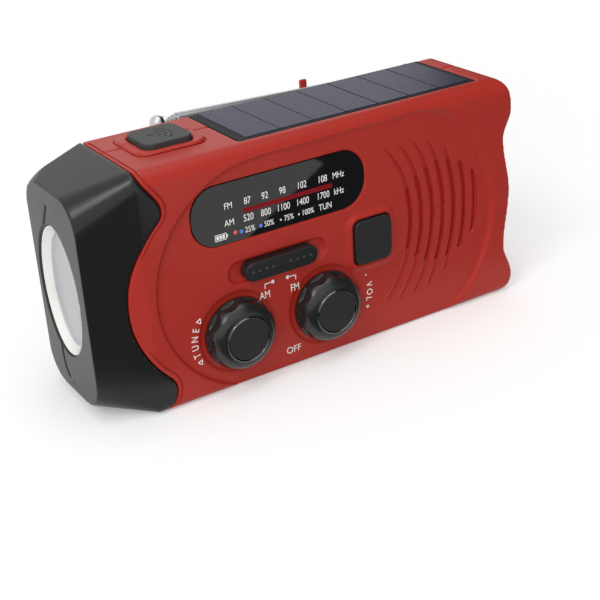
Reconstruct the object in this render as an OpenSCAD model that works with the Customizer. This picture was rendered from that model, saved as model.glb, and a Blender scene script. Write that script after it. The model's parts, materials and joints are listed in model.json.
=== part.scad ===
// Hand-crank emergency radio with lamp, solar panel and telescopic antenna.
// Millimetres. X runs from the lamp end to the socket end, Y from front to rear, Z up.
// The origin is on the standing face, under the middle of the case, in the plane where the shells meet.

/* [Case] */
// Length over the lamp face and the socket end
case_l = 128.4; // [124:0.1:140]
// Height from the standing face to the top
case_h = 63.3; // [62:0.1:70]
// Depth over the front and rear faces
case_d = 40; // [39:0.1:46]
// Thickness of the moulded walls
wall = 2; // [1.6:0.1:2.2]
// Depth of the recessed control panel in the front
panel_depth = 1; // [0.5:0.1:1.4]
// Radius of the recessed panel's round ends
panel_r = 30.6; // [26:0.1:31]
// Distance between the centres of the panel's round ends
panel_span = 41.7; // [36:0.1:44]
// Radius of the long edge between front and top
front_edge_r = 4.2; // [2:0.1:6]
// Radius of the long edges round the standing face
foot_edge_r = 2.5; // [1:0.1:3]
// Length of the rounded top corner at the socket end
end_corner_l = 4.2; // [3:0.1:8]
// Height of the rounded top corner at the socket end
end_corner_h = 8.5; // [5:0.1:10]
// Depth of the deepest hollow in the wavy socket end
end_wave = 3.8; // [1:0.1:5]

/* [Fits] */
// Gap round buttons and the slider
play = 0.25; // [0.15:0.05:0.4]
// Gap between fixed pieces that are set into each other
seat = 0.1; // [0.05:0.01:0.2]
// Radial clearance of shafts and tubes that move in a bore
run = 0.05; // [0.02:0.01:0.1]
// Radius of the bosses for the case screws
boss_r = 3; // [2.8:0.1:3.4]
// Radius of the case screws' shanks
screw_r = 1.25; // [1:0.05:1.5]

/* [Lamp end] */
// Length of the black cap along the top
cap_top_l = 14.9; // [12:0.1:18]
// Setback of the lamp face from the front and rear faces
nose_in = 5.2; // [3:0.1:7]
// Drop of the lamp face's top edge below the top
nose_drop = 5.3; // [3:0.1:8]
// Rise of the lamp face's low edge above the standing face
nose_rise = 3; // [1:0.1:6]
// Radius of the lamp face's corners
nose_r = 8; // [4:0.1:10]
// Radius of the red bulge that bites into the cap
bite_r = 28; // [26:0.1:30]
// Width of the oval lens
lens_w = 22.4; // [18:0.1:22.6]
// Height of the oval lens
lens_h = 34.4; // [28:0.1:36]
// Depth of the lens behind the lamp face
lens_set = 1; // [0.6:0.1:1.8]

/* [Front] */
// Width of the dial window
dial_w = 50.4; // [46:0.1:52]
// Height of the dial window
dial_h = 15.5; // [13:0.1:16]
// Radius of the dial window's corners
dial_r = 7; // [3:0.1:7]
// Thickness of the dial window
dial_t = 1.4; // [1:0.1:1.5]
// Radius of the tuning and volume knobs
knob_r = 9.5; // [8:0.1:10]
// Height of the knobs above the panel
knob_h = 5.9; // [4.5:0.1:8]
// Number of flutes round each knob
knob_flutes = 10; // [6:1:16]
// Radius of the knob spindles
spindle_r = 3; // [2.4:0.1:3.2]
// Length of the band slider's grip
slider_l = 21.5; // [16:0.1:23]
// Height of the band slider's grip
slider_h = 5; // [4:0.1:5.2]
// Travel of the band slider to each side
slider_go = 2.25; // [1.5:0.05:3]
// Width of the square light button
light_w = 11.4; // [10:0.1:12]
// Height of the square light button
light_h = 12.3; // [10:0.1:13]
// Radius of the speaker
speaker_r = 16; // [14:0.1:16.3]
// Number of speaker slots
slots = 7; // [5:1:7]
// Distance between speaker slots
slot_pitch = 3.68; // [3:0.01:3.7]
// Width of the speaker slots
slot_w = 1; // [0.8:0.1:1.8]

/* [Top] */
// Length of the solar panel
solar_l = 73.8; // [66:0.1:75]
// Depth of the solar panel
solar_d = 25.6; // [20:0.1:26]
// Thickness of the solar panel
solar_t = 2; // [1.4:0.1:2.2]
// Length of the alarm button
alarm_l = 13.2; // [11:0.1:14]
// Depth of the alarm button
alarm_d = 12.5; // [10:0.1:13]
// Height of the alarm button above the top
alarm_up = 2; // [1:0.1:3]
// Travel of the two push buttons
press = 0.8; // [0.5:0.05:0.8]

/* [Antenna] */
// Outer radius of the largest tube
rod_r = 2.1; // [2:0.05:2.3]
// Step in radius from one tube to the next
rod_step = 0.35; // [0.3:0.01:0.38]
// Length of the folded rod from the pivot to the end of the largest tube
rod_l = 76.4; // [70:0.1:80]
// Slope of the folded rod
rod_tilt = 2.2; // [1:0.1:2.6]

/* [Crank] */
// Radius of the dish in the rear
dish_r = 25.5; // [25:0.1:25.8]
// Depth of the dish
dish_depth = 3.5; // [3:0.1:4]
// Radius of the crank's spindle
crank_r = 3; // [2.5:0.1:3.2]
// Width of the crank arm
arm_w = 14; // [12.8:0.1:14.4]
// Radius of the grip
grip_r = 4; // [3.4:0.05:4.1]
// Length of the grip
grip_l = 11.2; // [9:0.1:11.3]
// Gear module
gear_m = 0.6; // [0.55:0.01:0.6]

/* [Battery] */
// Radius of the battery cell
cell_r = 9.1; // [8:0.05:9.15]
// Length of the battery cell
cell_l = 65.2; // [60:0.1:65.5]

/* [Hidden] */
$fn = 64;
eps = 0.01;
red = "#a8322a";
black = "#2b2b2b";
steel = "#c8c8c8";
green = "#2f6b3a";

// Case planes
x_face = -case_l / 2;
x_end = case_l / 2;
y_front = -case_d / 2;
y_rear = case_d / 2;
y_panel = y_front + panel_depth;
y_in = y_panel + wall;
y_back = y_rear - wall;
shelf_y = 11;
shelf_z = case_h - 7.3;
solar_set = 0.1;
solar_floor = case_h - solar_set - solar_t;
x_in = x_end - end_wave - wall;
x_nose = x_face + cap_top_l - 0.7;
boss_x = x_face + 24.6;
tongue_x = boss_x - boss_r - 0.4;
tongue_t = 1.4;
mid_z = case_h / 2 - 0.6;

// Cap edge: a red bulge between two black lobes
bite = [x_face + 9.3 + bite_r, mid_z - 1.75];
lobe_hi = [x_face + 20, mid_z + 21.95];
lobe_lo = [x_face + 19.3, mid_z - 25.55];
cap_gap = 0.3;

// Lamp
lens_lip = 0.9;
lens_lip_t = 1;
reflector_x = x_face + wall + lens_lip_t + 2 * seat;
reflector_l = 13;
lamp_board_x = reflector_x + reflector_l;
lamp_board_size = [16, 20];
led_r = 2.5;
led_l = 3;

// Front controls
panel_mid = [3.75, mid_z - 1.65];
dial_mid = [-11.1, mid_z + 16.6];
capacitor_w = 19.4;
tuning_at = [boss_x + boss_r + 0.7 + capacitor_w / 2, 15.4];
volume_at = [0.4, 14.7];
volume_can_r = 8.5;
slider_at = [-13, mid_z + 0.05];
speaker_at = [x_end - 25.1, mid_z];
ring_t = 1;
light_at = [speaker_at[0] - speaker_r - seat - ring_t - 0.6 - light_w / 2, mid_z - 1.85];
knob_disc_r = 6;
knob_disc_up = 0.5;
knob_skirt = 1.2;
flute_r = 6;
flute_out = 5.2;
spindle_collar = 1.5;
knob_well_r = knob_r + 1.5;
knob_well = 0.5;
knob_gap = 0.3;
slider_well = 1;
slider_up = 2;
slider_stem = [3, 2.4];
light_up = 1.4;
rim_w = 1.6;
rim_up = 0.8;
flange = 1.1;
flange_t = 1;

// Main board and the parts on its front
board_t = 1.6;
board_y = y_panel + 9;
board_back = board_y + board_t;
board_box = [[boss_x - boss_r, 4], [20, case_h - 6.3]];
board_posts = [[boss_x - 0.8, 34], [-6, case_h - 11.3], [17, mid_z + 11], [12, 6]];
post_r = 2.5;
pilot_r = 0.8;
small_head_r = 2;
small_head_t = 1.2;
small_screw_l = 6;
can_y = board_y - 6;

// Case screws
bosses = [[boss_x, shelf_z - 6], [x_end - 14.2, shelf_z - 6], [boss_x, 8], [x_end - 10.2, 6.5]];
screw_head_r = 2.6;
screw_head_t = 1.8;
screw_head_y = y_rear - 5;
screw_tip_y = -6;

// Speaker
speaker_y = y_in + seat;
speaker_rim = 1.4;
basket_y = speaker_y + 5.5;
magnet_r = 12;
magnet_y = basket_y + 7;
slot_mid = [speaker_at[0] - 42.2, speaker_at[1] + 0.4];
slot_first = 31.9;
slot_field = [speaker_at[0] - 12.6, speaker_at[1] + 0.4];
slot_field_r = 22.7;
slot_open_r = speaker_r - 1.6;

// Top
solar_x = -19.2;
solar_y = shelf_y - solar_d;
alarm_at = [x_face + 30.2, -1.75];
collar = [18.6, 16.2];
collar_up = 0.8;
alarm_board_z = case_h - 8.3;
alarm_board_t = 1.2;
ledge = [1.2, 1.8];
alarm_board_box = [[boss_x - boss_r, -7.5], [boss_x + 14.6, shelf_y - wall - seat]];

// Push switches: a square body and a round plunger
switch_w = 6;
switch_t = 3;
alarm_switch_t = 2;
plunger_r = 1.6;
plunger_t = 0.6;
stem_r = 1.7;
stem_gap = 0.1;
switch_top = board_y - switch_t - plunger_t;
alarm_switch_top = alarm_board_z + alarm_board_t + alarm_switch_t + plunger_t;

// Battery
cell_tip_r = 3;
cell_tip_l = 1.2;
holder_t = 1.5;
holder_gap = 0.3;
cell_at = [boss_x + boss_r + 1 + holder_t + holder_gap + cell_l / 2, 3, wall + 0.8 + cell_r];

// Antenna
pivot = [x_end - 8.7, shelf_y + 3.9, shelf_z + rod_r + 0.5];
rod_wall = rod_step - run;
rod_lap = 6;
rod_show = 1.1;
fork_t = 1;
fork_r = 2.2;
fork_strap = 1.2;
fork_gap = 0.3;
fork_in = pivot[1] - rod_r - fork_gap;
fork_out = pivot[1] + rod_r + fork_gap;
antenna_pin_r = 1.25;
tip_r = 1.9;
prong_x = 19.2;
prong_w = 2.1;
prong_t = 1.3;
prong_h = 7.5;
prong_gap = 0.2;

// Crank, gears and dynamo
crank_at = [0, dish_r + wall + 1];
dish_y = y_rear - dish_depth;
dish_in = dish_y - wall;
gear_angle = 25;
backlash = 0.12;
teeth_crank = 40;
teeth_pinion = 12;
teeth_idler = 32;
teeth_rotor = 10;
idler_dir = 150;
rotor_dir = 185;
idler_at = crank_at + gear_m * (teeth_crank + teeth_pinion) / 2 * [cos(idler_dir), sin(idler_dir)];
rotor_at = idler_at + gear_m * (teeth_idler + teeth_rotor) / 2 * [cos(rotor_dir), sin(rotor_dir)];
gear_t = 2;
gear_y = dish_in - 1 - gear_t;
idler_y = gear_y - 1 - gear_t;
plate_t = 1.5;
plate_y = idler_y - 1 - plate_t;
idler_pin_r = 1.25;
rotor_shaft_r = 1;
dynamo_r = 12;
dynamo_l = 12;
dynamo_skin = 0.8;
rotor_r = 7.2;
rotor_gap = 0.4;
plate_posts = [[15, 23.6], [14, 44], [-36.6, 24.4]];
plate_box = [[-40, 21.8], [18, rotor_at[1] + dynamo_r + 0.8]];
arm_y = dish_y + 0.5;
arm_t = 5.6;
arm_end = dish_r - 1.5;
grip_y = dish_y + 0.4 + grip_r;
hinge_at = [crank_at[0] + arm_end - 2.8, grip_y, crank_at[1]];
hinge_r = 2.8;
hinge_pin_r = 1;
grip_post_r = 1.5;
grip_gap = 0.2;
bush_t = 1.5;
bush_lip = 1;

// Ferrite aerial, beside the dynamo
ferrite_r = 4;
ferrite_l = 55;
ferrite_x = [rotor_at[0] + dynamo_r + 0.6, rotor_at[0] + dynamo_r + 0.6 + ferrite_l];
ferrite_at = [board_back + ferrite_r + 1.4, case_h - 9.8];
coil_x = [-4, 8];
coil_t = 0.9;
clip_xs = [-10, 14];
clip_size = [3, ferrite_r + 1.4, 2 * ferrite_r];

// Sockets
charge_y = 2.9;
charge_box = [[x_end - 18, 10.5], [x_in - seat, 42]];
charge_posts = [[x_end - 12.5, 28.5], [x_end - 12.5, 39]];
usb_z = 18;
usb = [14.2, 5.8, 13.2];
usb_skin = 0.35;
usb_mouth = x_end - 3.8;
micro_z = 33;
micro = [5.5, 2.6, 7.5];

// Points along an arc and along a soft S between two points
function arc(c, r, a, b, n = 12) = [for (i = [0:n]) let (t = a + (b - a) * i / n) c + r * [cos(t), sin(t)]];
function ease(p, q, n = 8) = [for (i = [1:n - 1])
    [p[0] + (q[0] - p[0]) * (1 - cos(180 * i / n)) / 2, p[1] + (q[1] - p[1]) * i / n]];

// Radius of a lobe that ends at tip and touches the red bulge
function lobe_r(tip) = (pow(bite[0] - tip[0], 2) + pow(bite[1] - tip[1], 2) - bite_r * bite_r)
    / (2 * (bite_r - bite[0] + tip[0]));
function lobe_mid(tip) = [tip[0] - lobe_r(tip), tip[1]];
function heading(p, q) = atan2(q[1] - p[1], q[0] - p[0]);

// Outlines drawn in X and Z stand in the XZ plane, those in Y and Z in the YZ plane
module along_y(y0, y1) { translate([0, y1, 0]) rotate([90, 0, 0]) linear_extrude(y1 - y0) children(); }
module along_x(x0, x1) { translate([x0, 0, 0]) rotate([90, 0, 90]) linear_extrude(x1 - x0) children(); }
module rod_y(at, r, y0, y1) { along_y(y0, y1) translate(at) circle(r); }
module slab(box, y0, y1) { along_y(y0, y1) translate(box[0]) square(box[1] - box[0]); }
module turned_y(at, y) { translate([at[0], y, at[1]]) rotate([-90, 0, 0]) rotate_extrude() children(); }

module rounded(size, r) {
    half = size / 2 - [r, r];
    polygon(concat(arc([half[0], half[1]], r, 0, 90, 8), arc([-half[0], half[1]], r, 90, 180, 8),
        arc([-half[0], -half[1]], r, 180, 270, 8), arc([half[0], -half[1]], r, 270, 360, 8)));
}

module oval(w, h) { polygon([for (a = [0:7.5:352.5]) [w / 2 * cos(a), h / 2 * sin(a)]]); }

// Cross-section of the case without the shelf
module full_section() {
    top = [y_front + front_edge_r, case_h - front_edge_r];
    polygon(concat(arc([y_front + foot_edge_r, foot_edge_r], foot_edge_r, 180, 270, 6),
        arc([y_rear - foot_edge_r, foot_edge_r], foot_edge_r, 270, 360, 6),
        [[y_rear, case_h]], arc(top, front_edge_r, 90, 180, 8)));
}

// Outline of the case from the lamp end's neck to the wavy socket end
module side_outline() {
    low = [x_end, foot_edge_r * 2];
    notch_lo = [x_end - end_wave * 0.8, mid_z - 16.1];
    bulge = [x_end - end_wave * 0.37, mid_z];
    notch_hi = [x_end - end_wave, mid_z + 15.9];
    high = [x_end - end_wave * 0.3, case_h - end_corner_h];
    polygon(concat([[x_nose, 0]], arc([low[0] - low[1], low[1]], low[1], 270, 360, 8), ease(low, notch_lo),
        [notch_lo], ease(notch_lo, bulge), [bulge], ease(bulge, notch_hi), [notch_hi], ease(notch_hi, high),
        [for (a = [0:9:90]) high + [end_corner_l * (cos(a) - 1), end_corner_h * sin(a)]],
        [[x_nose, case_h]]));
}

// Everything left of the cap's edge, moved right by shift
module cap_outline(shift) {
    hi = lobe_mid(lobe_hi);
    lo = lobe_mid(lobe_lo);
    neck = [x_face + cap_top_l, case_h];
    far = [x_face - 5, case_h + 5];
    translate([shift, 0]) polygon(concat([far, [neck[0], far[1]], neck], ease(neck, lobe_hi),
        arc(hi, lobe_r(lobe_hi), 0, heading(hi, bite), 6),
        arc(bite, bite_r, heading(bite, hi), heading(bite, lo) + 360, 24),
        arc(lo, lobe_r(lobe_lo), heading(lo, bite), -90, 8), [[lo[0], -5], [far[0], -5]]));
}

module nose_face(inset) {
    size = [case_d - 2 * nose_in - 2 * inset, case_h - nose_drop - nose_rise - 2 * inset];
    translate([-0.5, (case_h - nose_drop + nose_rise) / 2]) rounded(size, nose_r - inset);
}

module shelf_space() {
    translate([x_face - 5, shelf_y, shelf_z]) cube([case_l + 10, case_d, case_h]);
}

// The whole outer form of case and lamp end
module outer_form() {
    difference() {
        union() {
            intersection() {
                along_x(x_nose - eps, x_end) full_section();
                along_y(y_front, y_rear) side_outline();
            }
            hull() {
                along_x(x_nose, x_nose + eps) full_section();
                along_x(x_face, x_face + 0.5) nose_face(0);
            }
        }
        shelf_space();
    }
}

// Hollow of the shells, grown inwards by inset
module hollow_section(top, inset) {
    step = [shelf_y - wall - inset, shelf_z - wall - inset];
    r = 3;
    front = y_in + inset;
    polygon(concat([[front, wall + inset], [y_back - inset, wall + inset], [y_back - inset, step[1]],
        [step[0], step[1]], [step[0], top - inset]], arc([front + r, top - inset - r], r, 90, 180, 4)));
}

module hollow() {
    along_x(x_nose - 8, solar_x - wall) hollow_section(case_h - wall, 0);
    along_x(x_nose - 8, x_in) hollow_section(solar_floor - wall, 0);
}

module half(front) {
    size = [case_l + 20, case_d, case_h + 20];
    translate([-size[0] / 2, front ? -size[1] : 0, -10]) cube(size);
}

// Pockets that both shells share
module shell_cuts() {
    hollow();
    along_y(y_front - 1, y_rear + 1) cap_outline(cap_gap);
    translate([solar_x - seat, solar_y - seat, solar_floor])
        cube([solar_l + 2 * seat, solar_d + 2 * seat, solar_t + 1]);
    translate([alarm_at[0], alarm_at[1], case_h - wall - 1])
        linear_extrude(wall + 4) rounded([alarm_l, alarm_d] + 2 * [play, play], 2.5);
    translate([x_in - 1, -usb[1] / 2 - play, usb_z - usb[2] / 2 - play])
        cube([end_wave + wall + 3, usb[1] + 2 * play, usb[2] + 2 * play]);
    translate([x_in - 1, charge_y - micro[1] - play, micro_z - micro[2] / 2 - play])
        cube([end_wave + wall + 3, micro[1] + 2 * play, micro[2] + 2 * play]);
}

module alarm_collar() {
    translate([alarm_at[0], alarm_at[1], case_h - 1]) linear_extrude(1 + collar_up) rounded(collar, 3.5);
}

module slot_ring(i, w) {
    r = slot_first + i * slot_pitch;
    translate(slot_mid) difference() {
        circle(r + w / 2);
        circle(r - w / 2);
    }
}

module speaker_slots() {
    for (i = [0:slots - 1]) {
        along_y(y_panel - 1, y_panel + 0.6) intersection() {
            slot_ring(i, slot_w * 0.6);
            translate(slot_field) circle(slot_field_r);
            translate(slot_field) translate([-slot_field_r / 3, -slot_field_r]) square(slot_field_r * 2);
        }
        along_y(y_panel - 1, y_in + 1) intersection() {
            slot_ring(i, slot_w);
            translate(speaker_at) circle(slot_open_r);
        }
    }
}

module stadium(mid, span, r) {
    translate(mid) {
        translate([-span / 2, 0]) circle(r);
        translate([span / 2, 0]) circle(r);
        square([span, 2 * r], center = true);
    }
}

module light_rim() {
    size = [light_w, light_h] + 2 * [rim_w, rim_w];
    along_y(y_panel - rim_up, y_panel + 1) translate(light_at) rounded(size, 3);
}

module front_shell() color(red) {
    slider_space = slider_l + 2 * slider_go + 2;
    slot = [slider_stem[0] + 2 * slider_go + 2 * play, slider_stem[1] + 2 * play];
    difference() {
        union() {
            difference() {
                intersection() {
                    union() {
                        outer_form();
                        alarm_collar();
                    }
                    half(true);
                }
                along_y(y_front - 1, y_panel) stadium(panel_mid, panel_span, panel_r);
                shell_cuts();
            }
            light_rim();
            for (p = board_posts) rod_y(p, post_r, y_in - 1, board_y);
            for (b = bosses) rod_y(b, boss_r, y_in - 1, 0);
            along_y(y_in - 1, y_in + 2) translate(speaker_at) difference() {
                circle(speaker_r + seat + ring_t);
                circle(speaker_r + seat);
            }
        }
        along_y(y_front - 1, y_panel + dial_t) translate(dial_mid)
            rounded([dial_w, dial_h] + 2 * [seat, seat], dial_r);
        along_y(y_front - 1, y_panel + slider_well)
            stadium(slider_at, slider_space - slider_h, slider_h / 2 + play + 0.2);
        along_y(y_front, y_in + 1) translate(slider_at) square(slot, center = true);
        for (k = [tuning_at, volume_at]) {
            rod_y(k, knob_well_r, y_front - 1, y_panel + knob_well);
            rod_y(k, spindle_r + play, y_front - 1, y_in + 1);
        }
        along_y(y_front - 2, y_in + 1) translate(light_at) rounded([light_w, light_h] + 2 * [play, play], 2);
        speaker_slots();
        for (p = board_posts) rod_y(p, pilot_r + seat / 2, board_y - 5, board_y + 1);
        for (b = bosses) rod_y(b, screw_r + seat / 2, screw_tip_y - 1, 1);
    }
}

module rear_shell() color(red) {
    difference() {
        union() {
            difference() {
                intersection() {
                    union() {
                        outer_form();
                        alarm_collar();
                    }
                    half(false);
                }
                shell_cuts();
            }
            intersection() {
                rod_y(crank_at, dish_r + wall, dish_in, y_rear);
                outer_form();
            }
            for (b = bosses) rod_y(b, boss_r, 0, y_back + 1);
            for (p = plate_posts) rod_y(p, post_r, plate_y + plate_t, y_back + 1);
            for (p = charge_posts) rod_y(p, post_r, charge_y + board_t, y_back + 1);
            translate([alarm_board_box[0][0], shelf_y - wall - ledge[0], alarm_board_z - ledge[1]])
                cube([alarm_board_box[1][0] - alarm_board_box[0][0], ledge[0] + 1, ledge[1]]);
            translate([prong_x, pivot[1] + rod_r + prong_gap, shelf_z - 1])
                cube([prong_w, prong_t, prong_h + 1]);
        }
        rod_y(crank_at, dish_r, dish_y, y_rear + 1);
        rod_y(crank_at, crank_r + run + bush_t + seat, dish_in - 1, dish_y + 1);
        rod_y(idler_at, idler_pin_r + seat / 2, dish_in - 1, dish_in + 1);
        for (b = bosses) {
            rod_y(b, screw_r + play, -1, y_rear);
            rod_y(b, screw_head_r + play, screw_head_y, y_rear + 1);
        }
        for (p = plate_posts) rod_y(p, pilot_r + seat / 2, plate_y, plate_y + plate_t + 5);
        for (p = charge_posts) rod_y(p, pilot_r + seat / 2, charge_y, charge_y + board_t + 5);
    }
}

// Hollow of the lamp end, from inside the tongue to inside the lamp face
module lamp_hollow() {
    inset = seat + tongue_t;
    hull() {
        along_x(x_nose - 1, x_nose + 1) intersection() {
            hollow_section(case_h - wall, inset);
            translate([y_front, 0]) square([case_d, shelf_z - wall - inset]);
        }
        along_x(x_face + wall, x_face + wall + 0.5) nose_face(wall);
    }
    along_x(x_nose, lobe_hi[0] + 5) hollow_section(solar_floor, inset);
}

module lamp_cap(front) {
    difference() {
        union() {
            intersection() {
                outer_form();
                along_y(y_front - 1, y_rear + 1) cap_outline(0);
                half(front);
            }
            intersection() {
                along_x(x_nose - 6, tongue_x) hollow_section(case_h - wall, seat);
                outer_form();
                half(front);
            }
        }
        lamp_hollow();
        along_x(x_face - 1, x_face + wall + 1) translate([0, mid_z])
            oval(lens_w + 2 * play, lens_h + 2 * play);
    }
}

module lamp_cap_front() color(black) lamp_cap(true);

module lamp_cap_rear() color(black) lamp_cap(false);

module lamp_lens() color("#e8eeee") {
    along_x(x_face + lens_set, x_face + wall + seat + eps) translate([0, mid_z]) oval(lens_w, lens_h);
    along_x(x_face + wall + seat, x_face + wall + seat + lens_lip_t) translate([0, mid_z])
        oval(lens_w + 2 * lens_lip, lens_h + 2 * lens_lip);
}

module lamp_reflector() color("#d8d8d8") {
    skin = 1;
    mouth = [lens_w, lens_h] + 2 * [lens_lip, lens_lip];
    difference() {
        hull() {
            along_x(reflector_x, reflector_x + skin) translate([0, mid_z]) oval(mouth[0], mouth[1]);
            along_x(lamp_board_x - skin, lamp_board_x) translate([0, mid_z])
                circle(led_r + 1.5 + skin, $fn = 32);
        }
        hull() {
            along_x(reflector_x - eps, reflector_x) translate([0, mid_z])
                oval(mouth[0] - 2 * skin, mouth[1] - 2 * skin);
            along_x(lamp_board_x - 1, lamp_board_x + 1) translate([0, mid_z]) circle(led_r + 1, $fn = 32);
        }
    }
}

module lamp_board() color(green) {
    along_x(lamp_board_x, lamp_board_x + board_t) translate([0, mid_z]) rounded(lamp_board_size, 1);
}

module lamp_led() color("#f4f0d0") {
    translate([lamp_board_x, 0, mid_z]) rotate([0, -90, 0]) {
        cylinder(h = led_l, r = led_r);
        translate([0, 0, led_l]) intersection() {
            sphere(led_r);
            translate([-led_r, -led_r, 0]) cube(2 * led_r);
        }
    }
}

module dial_window() color("#1c1c1e") {
    along_y(y_panel, y_panel + dial_t) translate(dial_mid) rounded([dial_w, dial_h], dial_r);
}

module solar_panel() color("#5c5b68") {
    translate([solar_x, solar_y, solar_floor]) cube([solar_l, solar_d, solar_t]);
}

// A knob with a rounded fluted skirt and a raised front disc, bored for its spindle
module knob(at) {
    back = y_panel + knob_well - knob_gap;
    front = y_panel - knob_h;
    h = back - front;
    shoulder = knob_disc_r + 0.4;
    rise = h - knob_skirt - knob_disc_up;
    difference() {
        turned_y(at, back) mirror([0, 1]) polygon(concat([[0, 0], [knob_r, 0], [knob_r, knob_skirt]],
            [for (a = [0:15:75]) [shoulder + (knob_r - shoulder) * cos(a), knob_skirt + rise * sin(a)]],
            [[shoulder, h - knob_disc_up], [knob_disc_r, h - knob_disc_up], [knob_disc_r, h], [0, h]]));
        for (i = [0:knob_flutes - 1]) {
            a = 360 * i / knob_flutes;
            rod_y(at + (knob_r + flute_out) * [cos(a), sin(a)], flute_r, front - 1, back - knob_skirt);
        }
        rod_y(at, spindle_r + seat / 2, back - h + 1.4, back + 1);
    }
}

module spindle(at) {
    rod_y(at, spindle_r, y_panel - knob_h + 1.5, can_y + 3);
    rod_y(at, spindle_r + spindle_collar, can_y + 2, can_y + 3);
}

// Housing of a turned control, bored for its spindle and the spindle's collar
module control_bore(at) {
    rod_y(at, spindle_r + run, can_y - 1, can_y + 3);
    rod_y(at, spindle_r + spindle_collar + run, can_y + 2 - run, can_y + 3 + run);
}

module tuning_knob() color(black) knob(tuning_at);

module tuning_spindle() color(steel) spindle(tuning_at);

module tuning_capacitor() color("#d8d4c8") difference() {
    along_y(can_y, board_y) translate(tuning_at) square(capacitor_w, center = true);
    control_bore(tuning_at);
}

module volume_knob() color(black) knob(volume_at);

module volume_spindle() color(steel) spindle(volume_at);

module volume_control() color("#6a5a3a") difference() {
    rod_y(volume_at, volume_can_r, can_y, board_y);
    control_bore(volume_at);
}

module band_slider() color(black) {
    floor = y_panel + slider_well - 0.15;
    along_y(y_panel - slider_up, floor) stadium(slider_at, slider_l - slider_h, slider_h / 2);
    along_y(floor - eps, board_y - 3) translate(slider_at) square(slider_stem, center = true);
}

module band_switch() color("#8a8a8a") difference() {
    slot = [slider_stem[0] + 2 * slider_go + 2 * play, slider_stem[1] + 2 * play];
    along_y(board_y - 5, board_y) translate(slider_at) square([slot[0] + 5, slot[1] + 3], center = true);
    along_y(board_y - 6, board_y - 2) translate(slider_at) square(slot, center = true);
}

module light_button() color(black) {
    size = [light_w, light_h];
    along_y(y_panel - light_up, y_in + play) translate(light_at) rounded(size, 2);
    along_y(y_in + play, y_in + play + flange_t) translate(light_at) rounded(size + 2 * [0, flange], 2);
    rod_y(light_at, stem_r, y_in + play + flange_t - eps, switch_top - press - stem_gap);
}

module light_switch() color("#555555") {
    along_y(board_y - switch_t, board_y) translate(light_at) square(switch_w, center = true);
    rod_y(light_at, plunger_r, switch_top, board_y - switch_t + eps);
}

module alarm_button() color(black) {
    under = case_h - wall - play;
    size = [alarm_l, alarm_d];
    translate([alarm_at[0], alarm_at[1], 0]) {
        translate([0, 0, under]) linear_extrude(wall + play + alarm_up) rounded(size, 2.5);
        translate([0, 0, under - flange_t]) linear_extrude(flange_t)
            rounded(size + 2 * [flange, flange], 2.5);
        translate([0, 0, alarm_switch_top + press + stem_gap])
            cylinder(h = under - flange_t - alarm_switch_top - press - stem_gap + eps, r = stem_r);
    }
}

module alarm_switch() color("#555555") {
    translate([alarm_at[0], alarm_at[1], alarm_board_z + alarm_board_t]) {
        translate([-switch_w / 2, -switch_w / 2, 0]) cube([switch_w, switch_w, alarm_switch_t]);
        cylinder(h = alarm_switch_t + plunger_t, r = plunger_r);
    }
}

module alarm_board() color(green) {
    size = alarm_board_box[1] - alarm_board_box[0];
    translate([alarm_board_box[0][0], alarm_board_box[0][1], alarm_board_z])
        cube([size[0], size[1], alarm_board_t]);
}

module main_board() color(green) difference() {
    slab(board_box, board_y, board_back);
    for (b = bosses) rod_y(b, boss_r + play, board_y - 1, board_back + 1);
    for (p = board_posts) rod_y(p, pilot_r + seat, board_y - 1, board_back + 1);
}

// Small screw with its head at y, pointing to the front or to the rear
module small_screw(at, y, to_rear) {
    dir = to_rear ? 1 : -1;
    rod_y(at, small_head_r, min(y, y - dir * small_head_t), max(y, y - dir * small_head_t));
    rod_y(at, pilot_r, min(y, y + dir * small_screw_l), max(y, y + dir * small_screw_l));
}

module board_screws() color(steel) {
    for (p = board_posts) small_screw(p, board_back, false);
    for (p = charge_posts) small_screw(p, charge_y, true);
}

module speaker_frame() color("#9a9a9a") {
    depth = basket_y - speaker_y;
    turned_y(speaker_at, speaker_y) polygon([[speaker_r - 3, 0], [speaker_r, 0], [speaker_r, speaker_rim],
        [magnet_r + 1, depth], [5, depth], [5, depth - 0.8], [magnet_r, depth - 0.8],
        [speaker_r - 1.5, speaker_rim], [speaker_r - 3, speaker_rim]]);
}

module speaker_cone() color("#3a3632") {
    rim = speaker_rim + 0.05;
    turned_y(speaker_at, speaker_y) polygon([[0, 3.2], [4, 3.4], [speaker_r - 4, rim], [speaker_r - 2, rim],
        [speaker_r - 2, rim + 0.4], [speaker_r - 4, rim + 0.4], [4, 4], [0, 3.8]]);
}

module speaker_magnet() color("#4a4a4e") rod_y(speaker_at, magnet_r, basket_y, magnet_y);

module battery_cell() color("#2f6fb0") {
    translate(cell_at) rotate([0, 90, 0]) {
        translate([0, 0, -cell_l / 2]) cylinder(h = cell_l - cell_tip_l, r = cell_r);
        translate([0, 0, cell_l / 2 - cell_tip_l - eps]) cylinder(h = cell_tip_l, r = cell_tip_r);
    }
}

module battery_holder() color("#35353a") {
    half_l = cell_l / 2 + holder_gap;
    width = 2 * cell_r - 1;
    translate([cell_at[0] - half_l - holder_t, cell_at[1] - width / 2, wall]) {
        cube([2 * half_l + 2 * holder_t, width, 0.6]);
        cube([holder_t, width, cell_r * 1.6]);
        translate([2 * half_l + holder_t, 0, 0]) cube([holder_t, width, cell_r * 1.6]);
    }
}

module ferrite_bar(x0, x1, r) { along_x(x0, x1) translate(ferrite_at) circle(r); }

module ferrite_rod() color("#3c3c40") ferrite_bar(ferrite_x[0], ferrite_x[1], ferrite_r);

module ferrite_coil() color("#b06a2a") difference() {
    ferrite_bar(coil_x[0], coil_x[1], ferrite_r + coil_t);
    ferrite_bar(coil_x[0] - 1, coil_x[1] + 1, ferrite_r + seat);
}

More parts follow.
